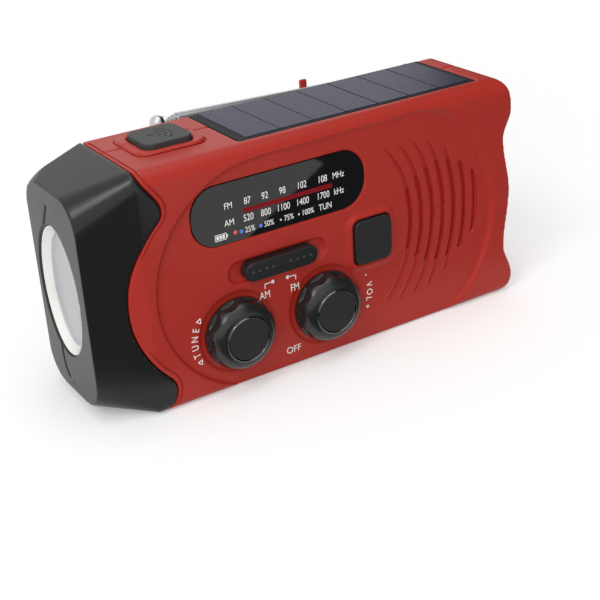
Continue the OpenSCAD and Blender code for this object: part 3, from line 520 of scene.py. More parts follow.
FINISH = {
    "red_plastic": plastic("red case", (0.378, 0.0225, 0.0135), 0.40, shine=0.3, clouds=0.08, grain=2600,
                           bump=0.10),
    "black_plastic": plastic("black cap", (0.012, 0.012, 0.012), 0.29, shine=0.34, clouds=0.12, grain=2600,
                             bump=0.10),
    "knob_black": plastic("black knob", (0.015, 0.016, 0.016), 0.27, clouds=0.15, grain=3200, bump=0.08),
    "button_rubber": plastic("rubber button", (0.033, 0.037, 0.036), 0.58, clouds=0.15, grain=4000, bump=0.2),
    "dark_plastic": plastic("dark moulding", (0.04, 0.04, 0.04), 0.5),
    "cream_plastic": plastic("cream moulding", (0.72, 0.69, 0.60), 0.45),
    "lens_clear": clear_lens(),
    "reflector_silver": metal("silvered reflector", (0.90, 0.90, 0.90), 0.22, streaks=0.05),
    "led_white": plastic("lamp resin", (0.88, 0.86, 0.72), 0.2),
    "dial_gloss": plastic("dial gloss", (0.008, 0.008, 0.009), 0.035, clouds=0.1, uneven=0.02, bump=0.0),
    "solar_dark": plastic("solar backing", (0.008, 0.008, 0.010), 0.5, shine=0.12, bump=0.05),
    "board_green": board_finish(),
    "steel": metal("plated steel", (0.62, 0.62, 0.62), 0.30),
    "antenna_chrome": metal("antenna chrome", (0.55, 0.55, 0.56), 0.28, streaks=0.03, bump=0.01),
    "magnet_dark": plastic("sintered magnet", (0.07, 0.07, 0.075), 0.55, clouds=0.3),
    "copper": metal("enamelled copper", (0.55, 0.22, 0.08), 0.35, streaks=0.3),
    "bush_brass": metal("bush bronze", (0.60, 0.42, 0.18), 0.4),
    "cell_blue": plastic("cell sleeve", (0.03, 0.12, 0.35), 0.3),
}
SOLAR_CELL = solar_cell_finish()
CONE_RED = plastic("speaker paper", (0.26, 0.028, 0.020), 0.8, clouds=0.2, grain=1800, bump=0.2)
WHITE_INK = plastic("white ink", (0.84, 0.83, 0.80), 0.5, clouds=0.06, bump=0.02)
RED_INK = plastic("red ink", (0.20, 0.006, 0.010), 0.4, shine=0.1, clouds=0.1, bump=0.02)
RED_LAMP_INK = plastic("red dot ink", (0.80, 0.10, 0.10), 0.4, clouds=0.1, bump=0.02)
BLUE_INK = plastic("blue dot ink", (0.08, 0.22, 0.70), 0.4, clouds=0.1, bump=0.02)
DISC_BLACK = plastic("knob disc", (0.026, 0.026, 0.026), 0.42, shine=0.3, clouds=0.15, grain=3200, bump=0.1)
CLOTH_RED = plastic("speaker cloth", (0.42, 0.021, 0.015), 0.9, shine=0.1, clouds=0.2, grain=1500, bump=0.4)
BUTTON_BLACK = plastic("black button", (0.022, 0.022, 0.022), 0.42, shine=0.4, clouds=0.15, grain=3200,
                       bump=0.1)
# Grip dots coloured lighter than the slider: painted sheen
DOT_PAINTED_SHEEN = plastic("slider dot", (0.05, 0.05, 0.05), 0.3, clouds=0.1, bump=0.03)
RIM_POLISH = metal("polished rim", (0.20, 0.20, 0.21), 0.10, streaks=0.03, bump=0.01)


def finish_frame():
    """Every CAD node takes the finish of its slot; the speaker cone and frame then take the speaker paper."""
    for part in frame["record"]["subparts"]:
        node = frame["nodes"][part["node"]]
        node.data.materials.clear()
        node.data.materials.append(FINISH[part["material_slot"]])
    for name in ("speaker_cone", "speaker_frame"):
        frame["nodes"][name].data.materials[0] = CONE_RED


def body_of_node(node):
    bodies = frame["record"]["behaviour"]["bodies"]
    return next(body for body, members in bodies.items() if node in members)


def slot_of_node(node):
    return next(p["material_slot"] for p in frame["record"]["subparts"] if p["node"] == node)


CRISP_ANGLE = 55


def replace_node(node, mesh, name=None, finish=None):
    """A shaped skin that takes a node's place; edges sharper than the crisp angle stay crisp."""
    slot = slot_of_node(node)
    obj = add_piece(name or node + "_skin", mesh, body_of_node(node), finish or FINISH[slot])
    mesh.set_sharp_from_angle(angle=math.radians(CRISP_ANGLE))
    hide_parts(node)
    return obj


def skin_node(node, voxel, passes, share=0.6, finish=None, **cuts):
    """A moulded skin of one node, in its place."""
    replace_node(node, moulded([node], voxel, passes, share, **cuts), finish=finish)


# Case: its front and top edges, and the recessed panel with a groove at the foot of its edge

FRONT_Y = node_box("front_shell")[0].y
FRONT_EDGE_R = 4.2
TOP_REAR_Y = 9
PANEL_MID = (3.75, 29.4)
PANEL_SPAN = 41.7
PANEL_R = 30.6
PANEL_EDGE = 1.6
PANEL_EDGE_DEEP = 1
PANEL_PASSES = 1
PANEL_GROOVE_R = 0.3
PANEL_GROOVE_ANGLES = (90, 260)
PANEL_GROOVE_STEPS = 60

# Collar round the alarm button

COLLAR_HALF = (9.3, 8.1)
COLLAR_R = 3.5
COLLAR_FOOT = 63.3
COLLAR_BELOW = 0.5
COLLAR_PASSES = 8
COLLAR_GROOVE_R = 0.32

# Speaker slots: arcs round a middle to the left, within a round field, with a thinned wall at the speaker

GRILLE_T = 1
GRILLE_R_IN = 0.9
GRILLE_INTO = 0.5
SLOTS = 7
SLOT_PITCH = 3.68
SLOT_FIRST = 31.9
SLOT_SHIFT = 0.35
SLOT_MID = (-3.1, 31.45)
SLOT_SWEEP = 60
SLOT_STEPS = 160
SLOT_FIELD = (27.4, 30.9)
SLOT_FIELD_R = 22.7
SLOT_FIELD_LEFT = SLOT_FIELD_R / 3
SLOT_GROOVE_R = 0.5
SLOT_GROOVE_IN = 0.24
SLOT_TIP = 0.25
SLOT_TAPER = 6
SLOT_MOUTH_R = 0.56
SLOT_MOUTH_IN = (0.05, 0.5, 0.95)
SLOT_MOUTH_EDGE = 1.6

# Sloping wall of the panel: how far out its lip lies, at angles round the panel's right end

LIP_REACH = 4.2
LIP_ANGLES = (-84, -65, -45, -20, 0, 20, 40, 58, 75, 90)
LIP_OUT = (2.0, 3.0, 3.6, 2.6, 2.2, 1.5, 2.2, 3.2, 2.3, 1.2)
LIP_LEFT_OUT = 0.3
LIP_SLOPE = 1.1
LIP_INNER = 1.5
LIP_STEPS = 90


def panel_edge(x, y, z):
    """True at the edge of the recessed panel."""
    out = np.hypot(np.maximum(abs(x - PANEL_MID[0]) - PANEL_SPAN / 2, 0), z - PANEL_MID[1])
    return (out - PANEL_R > -PANEL_EDGE) & (out - PANEL_R < LIP_REACH) & (y < PANEL_Y + PANEL_EDGE_DEEP)


def collar_edge(x, y, z):
    """True at the outer edge of the collar round the alarm button."""
    beyond = [np.maximum(abs(place - mid) - (half - COLLAR_R), 0)
              for place, mid, half in ((x, ALARM_MID.x, COLLAR_HALF[0]), (y, ALARM_MID.y, COLLAR_HALF[1]))]
    return (abs(np.hypot(*beyond) - COLLAR_R) < PANEL_EDGE) & (z > COLLAR_FOOT - COLLAR_BELOW)


SOFT_EDGES = ((panel_edge, PANEL_PASSES), (collar_edge, COLLAR_PASSES))


def add_collar_groove(bm):
    """Fine groove round the foot of the collar."""
    half = [h + COLLAR_GROOVE_R for h in COLLAR_HALF]
    loop = rounded_loop((ALARM_MID.x, ALARM_MID.y, COLLAR_FOOT), half, COLLAR_R)
    add_tube(bm, loop, COLLAR_GROOVE_R, closed=True)


def slot_arc(i, deep):
    """Points along one speaker slot, at a depth behind the panel."""
    middle = (SLOT_MID[0], PANEL_Y + deep, SLOT_MID[1])
    r = SLOT_FIRST + SLOT_SHIFT + i * SLOT_PITCH
    return front_arc(middle, r, -SLOT_SWEEP, SLOT_SWEEP, SLOT_STEPS)


def add_slot_grooves(bm):
    """Grooves that carry the speaker slots on beyond the speaker and run out to a point."""
    for i in range(SLOTS):
        points = [p for p in slot_arc(i, SLOT_GROOVE_IN)
                  if math.hypot(p.x - SLOT_FIELD[0], p.z - SLOT_FIELD[1]) < SLOT_FIELD_R
                  and p.x > SLOT_FIELD[0] - SLOT_FIELD_LEFT]
        if not points:
            continue
        last = len(points) - 1
        from_end = [min(k, last - k) for k in range(last + 1)]
        add_tube(bm, points, [SLOT_GROOVE_R * min(1, SLOT_TIP + SLOT_TAPER * k / last) for k in from_end])


def add_slot_mouths(bm):
    """Rounded mouths on the slots where they open into the speaker."""
    reach = SPEAKER_R - SLOT_MOUTH_EDGE
    for i in range(SLOTS):
        for deep in SLOT_MOUTH_IN:
            points = [p for p in slot_arc(i, deep)
                      if math.hypot(p.x - SPEAKER_MID.x, p.z - SPEAKER_MID.z) < reach]
            if len(points) > 2:
                add_tube(bm, points, SLOT_MOUTH_R)


def add_grille_pocket(bm):
    """Pocket behind the slots that leaves a thin wall there."""
    front = PANEL_Y + GRILLE_T
    depth = SPEAKER_LOW.y + GRILLE_INTO - front
    at = (SPEAKER_MID.x, front + depth / 2, SPEAKER_MID.z)
    add_disc(bm, at, SPEAKER_R - GRILLE_R_IN, depth, (0, 1, 0))


def add_panel_groove(bm):
    """Groove at the foot of the panel's edge round its left end."""
    middle = (PANEL_MID[0] - PANEL_SPAN / 2, PANEL_Y, PANEL_MID[1])
    add_tube(bm, front_arc(middle, PANEL_R, *PANEL_GROOVE_ANGLES, PANEL_GROOVE_STEPS), PANEL_GROOVE_R)


def panel_lip():
    """Cutter for the sloping wall of the panel, along the top and round the fuller right end."""
    middle = Vector((PANEL_MID[0] + PANEL_SPAN / 2, 0, PANEL_MID[1]))
    stations = []
    for angle in np.linspace(LIP_ANGLES[0], LIP_ANGLES[-1], LIP_STEPS):
        a = math.radians(angle)
        out = Vector((math.cos(a), 0, math.sin(a)))
        stations.append((middle, out, np.interp(angle, LIP_ANGLES, LIP_OUT)))
    left = middle - Vector((PANEL_SPAN, 0, 0))
    stations.append((left, Vector((0, 0, 1)), LIP_LEFT_OUT))
    bm = bmesh.new()
    rings = []
    for start, out, lip in stations:
        foot = max(lip - LIP_SLOPE, 0)
        profile = ((-LIP_INNER, PANEL_Y), (foot, PANEL_Y), (2 * lip - foot, 2 * FRONT_Y - PANEL_Y),
                   (-LIP_INNER, 2 * FRONT_Y - PANEL_Y))
        rings.append([bm.verts.new((start + out * (PANEL_R + more) + Vector((0, y, 0))) * MM)
                      for more, y in profile])
    join_rings(bm, rings)
    bm.faces.new(rings[0])
    bm.faces.new(rings[-1])
    return bm


# Edge of the lamp end on the case: places are from the lamp face and from the case's middle height

BITE_R = 28
BITE_DEEP = 9.3
BITE_UP = -1.75
NECK_DEEP = 14.9
NECK_STEPS = 32
HIGH_TIP = (20, 21.95)
LOW_TIP = (19.3, -25.55)
LOW_END = -50
SEAM_OUT = 1.2
SEAM_IN = 0.14
SEAM_GROOVE_R = 0.3


def heading(start, end):
    """Angle from X of the line between two points, in degrees."""
    return math.degrees(math.atan2(end[1] - start[1], end[0] - start[0]))


def cap_edge_path():
    """Points (x, z) along the lamp end's edge on the case, from the top to the foot."""
    middle_z = COLLAR_FOOT / 2
    bite = (FACE_X + BITE_DEEP + BITE_R, middle_z + BITE_UP)
    neck = (FACE_X + NECK_DEEP, COLLAR_FOOT)
    high_tip, low_tip = [(FACE_X + deep, middle_z + up) for deep, up in (HIGH_TIP, LOW_TIP)]
    lobes = []
    for tip in (high_tip, low_tip):
        apart = (bite[0] - tip[0]) ** 2 + (bite[1] - tip[1]) ** 2 - BITE_R ** 2
        r = apart / (2 * (BITE_R - bite[0] + tip[0]))
        lobes.append(((tip[0] - r, tip[1]), r))
    (high, high_r), (low, low_r) = lobes
    path = []
    for i in range(NECK_STEPS + 1):
        share = i / NECK_STEPS
        path.append((neck[0] + (high_tip[0] - neck[0]) * (1 - math.cos(math.pi * share)) / 2,
                     neck[1] + (high_tip[1] - neck[1]) * share))
    for middle, r, start, end in ((high, high_r, 0, heading(high, bite)),
                                  (bite, BITE_R, heading(bite, high), heading(bite, low) + 360),
                                  (low, low_r, heading(low, bite), LOW_END)):
        arc = front_arc((middle[0], 0, middle[1]), r, start, end)
        path += [(p.x, p.z) for p in arc[1:]]
    return path


def add_seam_groove(bm):
    """Fine groove in the case that runs beside the lamp end, over the top and down the front."""
    path = cap_edge_path()
    edge_z = COLLAR_FOOT - FRONT_EDGE_R
    points = [Vector((path[0][0] + SEAM_OUT, TOP_REAR_Y, COLLAR_FOOT - SEAM_IN))]
    for i, (x, z) in enumerate(path):
        before = path[max(i - 1, 0)]
        after = path[min(i + 1, len(path) - 1)]
        along = Vector((after[0] - before[0], 0, after[1] - before[1])).normalized()
        seam_x = x - along.z * SEAM_OUT
        seam_z = min(z + along.x * SEAM_OUT, COLLAR_FOOT)
        up = min(max(seam_z - edge_z, 0), FRONT_EDGE_R)
        level = math.sqrt(FRONT_EDGE_R ** 2 - up ** 2)
        inward = Vector((0, level, -up)) * (SEAM_IN / FRONT_EDGE_R)
        points.append(Vector((seam_x, FRONT_Y + FRONT_EDGE_R - level, seam_z)) + inward)
    add_tube(bm, points, SEAM_GROOVE_R)


def make_case():
    """Both halves of the case, with their grooves, the panel's sloping wall and the speaker slots."""
    grooves = bmesh.new()
    add_slot_grooves(grooves)
    add_slot_mouths(grooves)
    add_collar_groove(grooves)
    add_panel_groove(grooves)
    add_seam_groove(grooves)
    add_grille_pocket(grooves)
    skin_node("front_shell", voxel=0.32, passes=4, share=0.3, soft_cut=panel_lip(), sharp_cut=grooves,
              softer=SOFT_EDGES)
    grooves = bmesh.new()
    add_collar_groove(grooves)
    add_seam_groove(grooves)
    skin_node("rear_shell", voxel=0.32, passes=4, share=0.3, sharp_cut=grooves, softer=SOFT_EDGES)


CLOTH_RINGS = 6
CLOTH_SAG = 0.1
CLOTH_IN = 1


def make_speaker_cloth():
    """Thin dust cloth across the speaker, close behind the slots, that sags a little in the middle."""
    r = SPEAKER_R - CLOTH_IN
    bm = bmesh.new()
    bmesh.ops.create_circle(bm, cap_ends=True, segments=64, radius=r * MM)
    bm.faces.ensure_lookup_table()
    for i in range(CLOTH_RINGS - 1):
        bmesh.ops.inset_region(bm, faces=[bm.faces[-1] if i else bm.faces[0]], thickness=r / CLOTH_RINGS * MM)
        bm.faces.ensure_lookup_table()
    for point in bm.verts:
        share = math.hypot(point.co.x, point.co.y) / (r * MM)
        y = PANEL_Y + GRILLE_T + CLOTH_SAG * (1 - share ** 2)
        place = Vector((SPEAKER_MID.x, y, SPEAKER_MID.z)) * MM
        point.co = place + Vector((point.co.x, 0, point.co.y))
    add_piece("speaker_cloth", mesh_of(bm, "speaker_cloth"), "case", CLOTH_RED)


# Lamp end

GROOVE_R = 0.55
GROOVE_ABOVE = ((0.9, 22.7), (2.6, 19.6))
GROOVE_BELOW = ((4.7, -18.6), (4.2, -22.3), (2.4, -24.6), (-0.3, -25.8))
GROOVE_SPREAD = 66
GROOVE_OUT = 0.3
GROOVE_STEPS = 24
LENS_LIP = 0.9
LENS_LIP_T = 1
LENS_HALF_W = (LENS_HIGH.y - LENS_LOW.y) / 2 - LENS_LIP
LENS_HALF_H = (LENS_HIGH.z - LENS_LOW.z) / 2 - LENS_LIP


def lamp_groove():
    """Groove in the lamp face that runs into the rear side of the lens opening."""
    half_w = LENS_HALF_W + GROOVE_OUT
    half_h = LENS_HALF_H + GROOVE_OUT
    angles = [math.radians(GROOVE_SPREAD * (1 - 2 * i / GROOVE_STEPS)) for i in range(GROOVE_STEPS + 1)]
    path = [*GROOVE_ABOVE, *((half_w * math.cos(a), half_h * math.sin(a)) for a in angles), *GROOVE_BELOW]
    bm = bmesh.new()
    add_tube(bm, [Vector((FACE_X, LENS_MID.y + y, LENS_MID.z + z)) for y, z in path], GROOVE_R)
    return bm


def make_lamp_end():
    """One fused skin for both halves of the cap, and the lens in it."""
    halves = ["lamp_cap_front", "lamp_cap_rear"]
    mesh = moulded(halves, voxel=0.3, passes=5, share=0.4, soft_cut=lamp_groove())
    skin = replace_node("lamp_cap_front", mesh, "lamp_end_skin")
    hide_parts("lamp_cap_rear")
    make_lens()


LENS_EDGE = 0.5
LENS_BEVEL = 0.1
LENS_SLOPE = 1.8
LENS_RINGS = 12
LENS_SPOKES = 144
LENS_FLUTES = 48
LENS_FLUTE = 0.1
LENS_CRISP_ANGLE = 40


def make_lens():
    """Oval lens shaped like a shallow cup: a flange, a narrow rim, a fluted wall and a crowned floor."""
    rim = FACE_X + LENS_FRONT
    floor = rim + LENS_WALL
    flange_x = LENS_HIGH.x - LENS_LIP_T
    floor_in = LENS_EDGE + LENS_SLOPE
    loops = [(floor - LENS_CROWN * (1 - (i / LENS_RINGS) ** 2), i / LENS_RINGS, -floor_in, 0)
             for i in range(1, LENS_RINGS + 1)]
    loops += [(rim + LENS_BEVEL, 1, -LENS_EDGE, LENS_FLUTE), (rim, 1, -LENS_EDGE + LENS_BEVEL, 0),
              (rim, 1, -LENS_BEVEL, 0), (rim + LENS_BEVEL, 1, 0, 0), (flange_x, 1, 0, 0),
              (flange_x, 1, LENS_LIP, 0), (LENS_HIGH.x, 1, LENS_LIP, 0)]
    spokes = [2 * math.pi * k / LENS_SPOKES for k in range(LENS_SPOKES)]
    bm = bmesh.new()
    made = []
    for x, share, out, flute in loops:
        ring = []
        for a in spokes:
            more = out + flute * math.cos(LENS_FLUTES * a)
            y = LENS_MID.y + share * (LENS_HALF_W + more) * math.cos(a)
            z = LENS_MID.z + share * (LENS_HALF_H + more) * math.sin(a)
            ring.append(bm.verts.new(Vector((x, y, z)) * MM))
        made.append(ring)
    tip = bm.verts.new(Vector((floor - LENS_CROWN, LENS_MID.y, LENS_MID.z)) * MM)
    for k in range(LENS_SPOKES):
        after = (k + 1) % LENS_SPOKES
        bm.faces.new((tip, made[0][k], made[0][after]))
        for a, b in zip(made, made[1:]):
            bm.faces.new((a[k], b[k], b[after], a[after]))
    bm.faces.new(made[-1])
    lens = replace_node("lamp_lens", mesh_of(bm, "lamp_lens_cup"), "lamp_lens_cup")
    lens.data.set_sharp_from_angle(angle=math.radians(LENS_CRISP_ANGLE))


# Solar panel: cells side by side on a dark backing

SOLAR_CELLS = 7
SOLAR_LEFT = 2.6
SOLAR_RIGHT = 1.5
SOLAR_FRONT = 1.3
SOLAR_REAR = 0.3
SOLAR_GAP = 0.3
SOLAR_UP = 0.12


def make_solar_cells():
    """A row of thin cells with narrow gaps between them."""
    start = SOLAR_LOW.x + SOLAR_LEFT
    pitch = (SOLAR_HIGH.x - SOLAR_RIGHT - start) / SOLAR_CELLS
    bm = bmesh.new()
    for i in range(SOLAR_CELLS):
        low = (start + i * pitch + SOLAR_GAP / 2, SOLAR_LOW.y + SOLAR_FRONT, SOLAR_HIGH.z)
        high = (start + (i + 1) * pitch - SOLAR_GAP / 2, SOLAR_HIGH.y - SOLAR_REAR, SOLAR_HIGH.z + SOLAR_UP)
        add_box(bm, low, high)
    add_piece("solar_cells", mesh_of(bm, "solar_cells"), "case", SOLAR_CELL, smooth=False)


# Knobs, slider and buttons

RIM_R = 5.85
RIM_T = 0.27
RIM_STEPS = 72
DISC_R = 5.55
DISC_DEEP = 0.3
DISC_SET = 0.08
DISC_ROUND = 0.12


def add_turned(bm, middle, profile, steps=64):
    """A solid turned round an axis along Y; the profile holds (radius, y) from the front to the rear."""
    rings = []
    for r, y in profile:
        ring = front_ring((middle.x, y, middle.z), r, steps)
        rings.append([bm.verts.new(p * MM) for p in ring])
    join_rings(bm, rings)
    bm.faces.new(rings[0])
    bm.faces.new(rings[-1])


def make_knobs():
    """Both knobs, each with a bright rim and a flat disc let into its front."""
    for body, middle in (("tuning", TUNING), ("volume", VOLUME)):
        knob = body + "_knob"
        front = node_box(knob)[0].y
        seat = bmesh.new()
        add_disc(seat, (middle.x, front, middle.z), RIM_R, 2 * DISC_DEEP, (0, -1, 0))
        skin_node(knob, voxel=0.2, passes=4, sharp_cut=seat)
        rim = bmesh.new()
        add_tube(rim, front_ring((middle.x, front + RIM_T, middle.z), RIM_R, RIM_STEPS), RIM_T, closed=True)
        add_piece(knob + "_rim", mesh_of(rim, knob + "_rim"), body, RIM_POLISH)
        face = front + DISC_SET
        disc = bmesh.new()
        add_turned(disc, middle, ((DISC_R - DISC_ROUND, face), (DISC_R, face + DISC_ROUND),
                                  (DISC_R, front + DISC_DEEP)))
        add_piece(knob + "_disc", mesh_of(disc, knob + "_disc"), body, DISC_BLACK, smooth=False)


SLIDER_BUMPS = 4
SLIDER_BUMP_PITCH = 1.95
SLIDER_BUMP_FIRST = 2.6
SLIDER_BUMP_R = 0.4
SLIDER_BUMP_IN = 0.16
SLIDER_BUMP_SQUASH = (1, 0.8, 1.1)


def make_slider():
    """The slider, and a row of small grip dots on each side of its middle, coloured lighter than the slider
    as a painted sheen.
    """
    skin_node("band_slider", voxel=0.2, passes=3)
    middle_x = (SLIDER_LOW.x + SLIDER_HIGH.x) / 2
    middle_z = (SLIDER_LOW.z + SLIDER_HIGH.z) / 2
    dots = bmesh.new()
    for side in (-1, 1):
        for i in range(SLIDER_BUMPS):
            x = middle_x + side * (SLIDER_BUMP_FIRST + i * SLIDER_BUMP_PITCH)
            add_ball(dots, (x, SLIDER_LOW.y + SLIDER_BUMP_IN, middle_z), SLIDER_BUMP_R, SLIDER_BUMP_SQUASH)
    body = body_of_node("band_slider")
    add_piece("slider_dots", mesh_of(dots, "slider_dots"), body, DOT_PAINTED_SHEEN)


ICON_LINE_R = 0.25
ICON_SPOT_LEFT = 2.2
ICON_SPOT_R = 0.9
ICON_SPOT_SQUASH = (1, 1, 0.3)
ICON_WAVES = (2.2, 3.7, 5.2)
ICON_WAVE_SPREAD = 52


def make_buttons():
    """Both buttons: the light button plain, the alarm button with a spot that sends out waves cut in."""
    skin_node("light_button", voxel=0.2, passes=3, finish=BUTTON_BLACK)
    icon = bmesh.new()
    spot = Vector((ALARM_MID.x - ICON_SPOT_LEFT, ALARM_MID.y, ALARM_TOP))
    add_ball(icon, spot, ICON_SPOT_R, ICON_SPOT_SQUASH)
    for r in ICON_WAVES:
        wave = arc_points(spot, r, -ICON_WAVE_SPREAD, ICON_WAVE_SPREAD, (1, 0, 0), (0, 1, 0))
        add_tube(icon, wave, ICON_LINE_R)
    skin_node("alarm_button", voxel=0.2, passes=3, sharp_cut=icon)


# Crank and screws on the rear

def make_crank():
    skin_node("crank_arm", voxel=0.25, passes=4)
    skin_node("crank_grip", voxel=0.2, passes=4)


WELD = 0.001
CROSS_DEEP = 0.8
CASE_CROSS = (1.5, 0.35)
CRANK_CROSS = (2.3, 0.5)


def loose_middles(node):
    """Middle (x, z) and rear (y) of each separate solid in a node, in millimetres."""
    bm = bmesh.new()
    bm.from_mesh(frame["nodes"][node].data)
    bmesh.ops.remove_doubles(bm, verts=bm.verts[:], dist=WELD * MM)
    left = set(bm.verts)
    middles = []
    while left:
        reached = [left.pop()]
        for point in reached:
            near = {edge.other_vert(point) for edge in point.link_edges} & left
            left -= near
            reached += near
        places = np.array([point.co for point in reached]) / MM
        middle = (places.min(axis=0) + places.max(axis=0)) / 2
        middles.append((middle[0], places[:, 1].max(), middle[2]))
    bm.free()
    return sorted(middles)


def make_screws():
    """Screw heads on the rear, with a cross cut into each."""
    for node, (reach, half) in (("case_screws", CASE_CROSS), ("crank_screw", CRANK_CROSS)):
        cross = bmesh.new()
        for x, y, z in loose_middles(node):
            for across, up in ((reach, half), (half, reach)):
                add_box(cross, (x - across, y - CROSS_DEEP, z - up), (x + across, y + CROSS_DEEP, z + up))
        skin_node(node, voxel=0.16, passes=3, sharp_cut=cross)


# Print on the dial window and the panel

PRINT_UP = 0.03
CAPITAL_SHARE = 0.7


def letters(bm, text, at, height, squeeze=1.0, turn=0.0):
    """Adds flat letters that face the front, centred on at = (x, z), turned in their plane."""
    curve = bpy.data.curves.new("letters", "FONT")
    curve.body = text
    curve.size = height / CAPITAL_SHARE * MM
    curve.align_x = "CENTER"
    curve.align_y = "CENTER"
    curve.extrude = PRINT_UP / 2 * MM
    mesh = shaped(loose_object("letters", curve))
    place = Vector((at[0], PANEL_Y - PRINT_UP / 2, at[1])) * MM
    mesh.transform(Matrix.Translation(place) @ Matrix.Rotation(math.radians(90), 4, "X")
                   @ Matrix.Rotation(math.radians(turn), 4, "Z") @ Matrix.Diagonal((squeeze, 1, 1, 1)))
    bm.from_mesh(mesh)


def ink_dot(bm, at, r):
    add_disc(bm, (at[0], PANEL_Y - PRINT_UP / 2, at[1]), r, PRINT_UP, (0, -1, 0))


def ink_bar(bm, low, high):
    add_box(bm, (low[0], PANEL_Y - PRINT_UP, low[1]), (high[0], PANEL_Y, high[1]))


def print_piece(name, bm, ink):
    add_piece(name, mesh_of(bm, name), "case", ink, smooth=False)


DIAL_ROW_FM = 49.5
DIAL_ROW_AM = 45.1
DIAL_ROW_CHARGE = 42.0
DIAL_SCALE = ((-20.6, "87", "520"), (-15.6, "92", "800"), (-10.5, "98", "1100"), (-4.8, "102", "1400"),
              (1.4, "108", "1700"))
BAND_NAME_X = -26
UNIT_X = 6.2
CHARGE_MARKS = ((-20.4, "25%"), (-14.9, "50%"), (-9.1, "75%"), (-3.4, "100%"))
TUN_X = 1.9
DIAL_BAR = ((-22.0, 46.6), (4.2, 47.8))
RED_DOT_X = -24.6
RED_DOT_UP = 0.2
RED_DOT_R = 0.55
BLUE_DOTS_X = (-22.9, -17.3)
BLUE_DOT_R = 0.5
WHITE_DOTS_X = (-11.5, -6.1)
WHITE_DOT_R = 0.25
CELL_BARS = 3
CELL_BAR_X = -29.9
CELL_BAR_PITCH = 0.85
CELL_BAR_W = 0.65
CELL_BAR_HALF_H = 0.5
CELL_OUTLINE = (((-30.3, -0.85), (-27.1, -0.68)), ((-30.3, 0.68), (-27.1, 0.85)),
                ((-30.3, -0.7), (-30.13, 0.7)), ((-27.2, -0.7), (-27.03, 0.7)),
                ((-27.0, -0.35), (-26.7, 0.35)))


def charge_icon(bm):
    """A small cell with bars in it, at the left of the charge row; its outline is given from that row."""
    row = DIAL_ROW_CHARGE
    for i in range(CELL_BARS):
        x = CELL_BAR_X + i * CELL_BAR_PITCH
        ink_bar(bm, (x, row - CELL_BAR_HALF_H), (x + CELL_BAR_W, row + CELL_BAR_HALF_H))
    for low, high in CELL_OUTLINE:
        ink_bar(bm, (low[0], row + low[1]), (high[0], row + high[1]))


def make_dial_print():
    """The scale, the charge row and the coloured marks on the dial window."""
    white = bmesh.new()
    for x, fm, am in DIAL_SCALE:
        letters(white, fm, (x, DIAL_ROW_FM), height=1.8, squeeze=0.76)
        letters(white, am, (x, DIAL_ROW_AM), height=1.8, squeeze=0.76)
    for band, row, unit in (("FM", DIAL_ROW_FM, "MHz"), ("AM", DIAL_ROW_AM, "kHz")):
        letters(white, band, (BAND_NAME_X, row), height=1.6, squeeze=0.85)
        letters(white, unit, (UNIT_X, row), height=1.7, squeeze=0.78)
    for x, mark in CHARGE_MARKS:
        letters(white, mark, (x, DIAL_ROW_CHARGE), height=1.5, squeeze=0.8)
    letters(white, "TUN", (TUN_X, DIAL_ROW_CHARGE), height=1.7, squeeze=0.8)
    charge_icon(white)
    for x in WHITE_DOTS_X:
        ink_dot(white, (x, DIAL_ROW_CHARGE), WHITE_DOT_R)
    print_piece("dial_print", white, WHITE_INK)
    bar = bmesh.new()
    ink_bar(bar, *DIAL_BAR)
    print_piece("dial_bar", bar, RED_INK)
    red = bmesh.new()
    ink_dot(red, (RED_DOT_X, DIAL_ROW_CHARGE + RED_DOT_UP), RED_DOT_R)
    print_piece("dial_red_dot", red, RED_LAMP_INK)
    blue = bmesh.new()
    for x in BLUE_DOTS_X:
        ink_dot(blue, (x, DIAL_ROW_CHARGE), BLUE_DOT_R)
    print_piece("dial_blue_dots", blue, BLUE_INK)


BAND_LABELS = (("AM", (-17.6, 22.9)), ("FM", (-8.6, 22.4)))
BAND_DOT_R = 0.5
BAND_MARKS = (((-15.1, 26.0), ((-17.4, 25.85), (-15.1, 26.1)), ((-17.55, 24.7), (-17.3, 26.1))),
              ((-10.6, 25.9), ((-10.6, 25.75), (-8.2, 26.0)), ((-8.35, 24.6), (-8.1, 26.0))))
OFF_AT = (-10.1, 4.8)
ARC_LABEL = 1.9
TUNE_R = 12.3
TUNE_ANGLES = (194, 183, 172, 161)
VOLUME_R = 14.2
VOLUME_ANGLES = (19, 6, -3, -11, -20)
ARROWS = ((204, 1), (150, -1))
ARROW_AHEAD = 0.9
ARROW_BACK = 0.3
ARROW_HALF_W = 0.7
ARROW_LINE_R = 0.12


def arc_letters(bm, text, middle, r, angles):
    """One letter at each angle round a knob, with its foot towards the knob."""
    for letter, angle in zip(text, angles):
        a = math.radians(angle)
        at = (middle.x + r * math.cos(a), middle.z + r * math.sin(a))
        letters(bm, letter, at, ARC_LABEL, squeeze=0.85, turn=angle - 90)


def arrow_head(bm, middle, r, angle, way):
    """Outline of an arrow head on a circle round a knob, pointing along it."""
    a = math.radians(angle)
    out = Vector((math.cos(a), 0, math.sin(a)))
    along = Vector((-math.sin(a), 0, math.cos(a))) * way
    spot = Vector((middle.x, PANEL_Y, middle.z)) + out * r
    corners = [spot + along * ARROW_AHEAD, spot + out * ARROW_HALF_W - along * ARROW_BACK,
               spot - out * ARROW_HALF_W - along * ARROW_BACK]
    for start, end in zip(corners, corners[1:] + corners[:1]):
        add_tube(bm, [start, end], ARROW_LINE_R, sides=6)


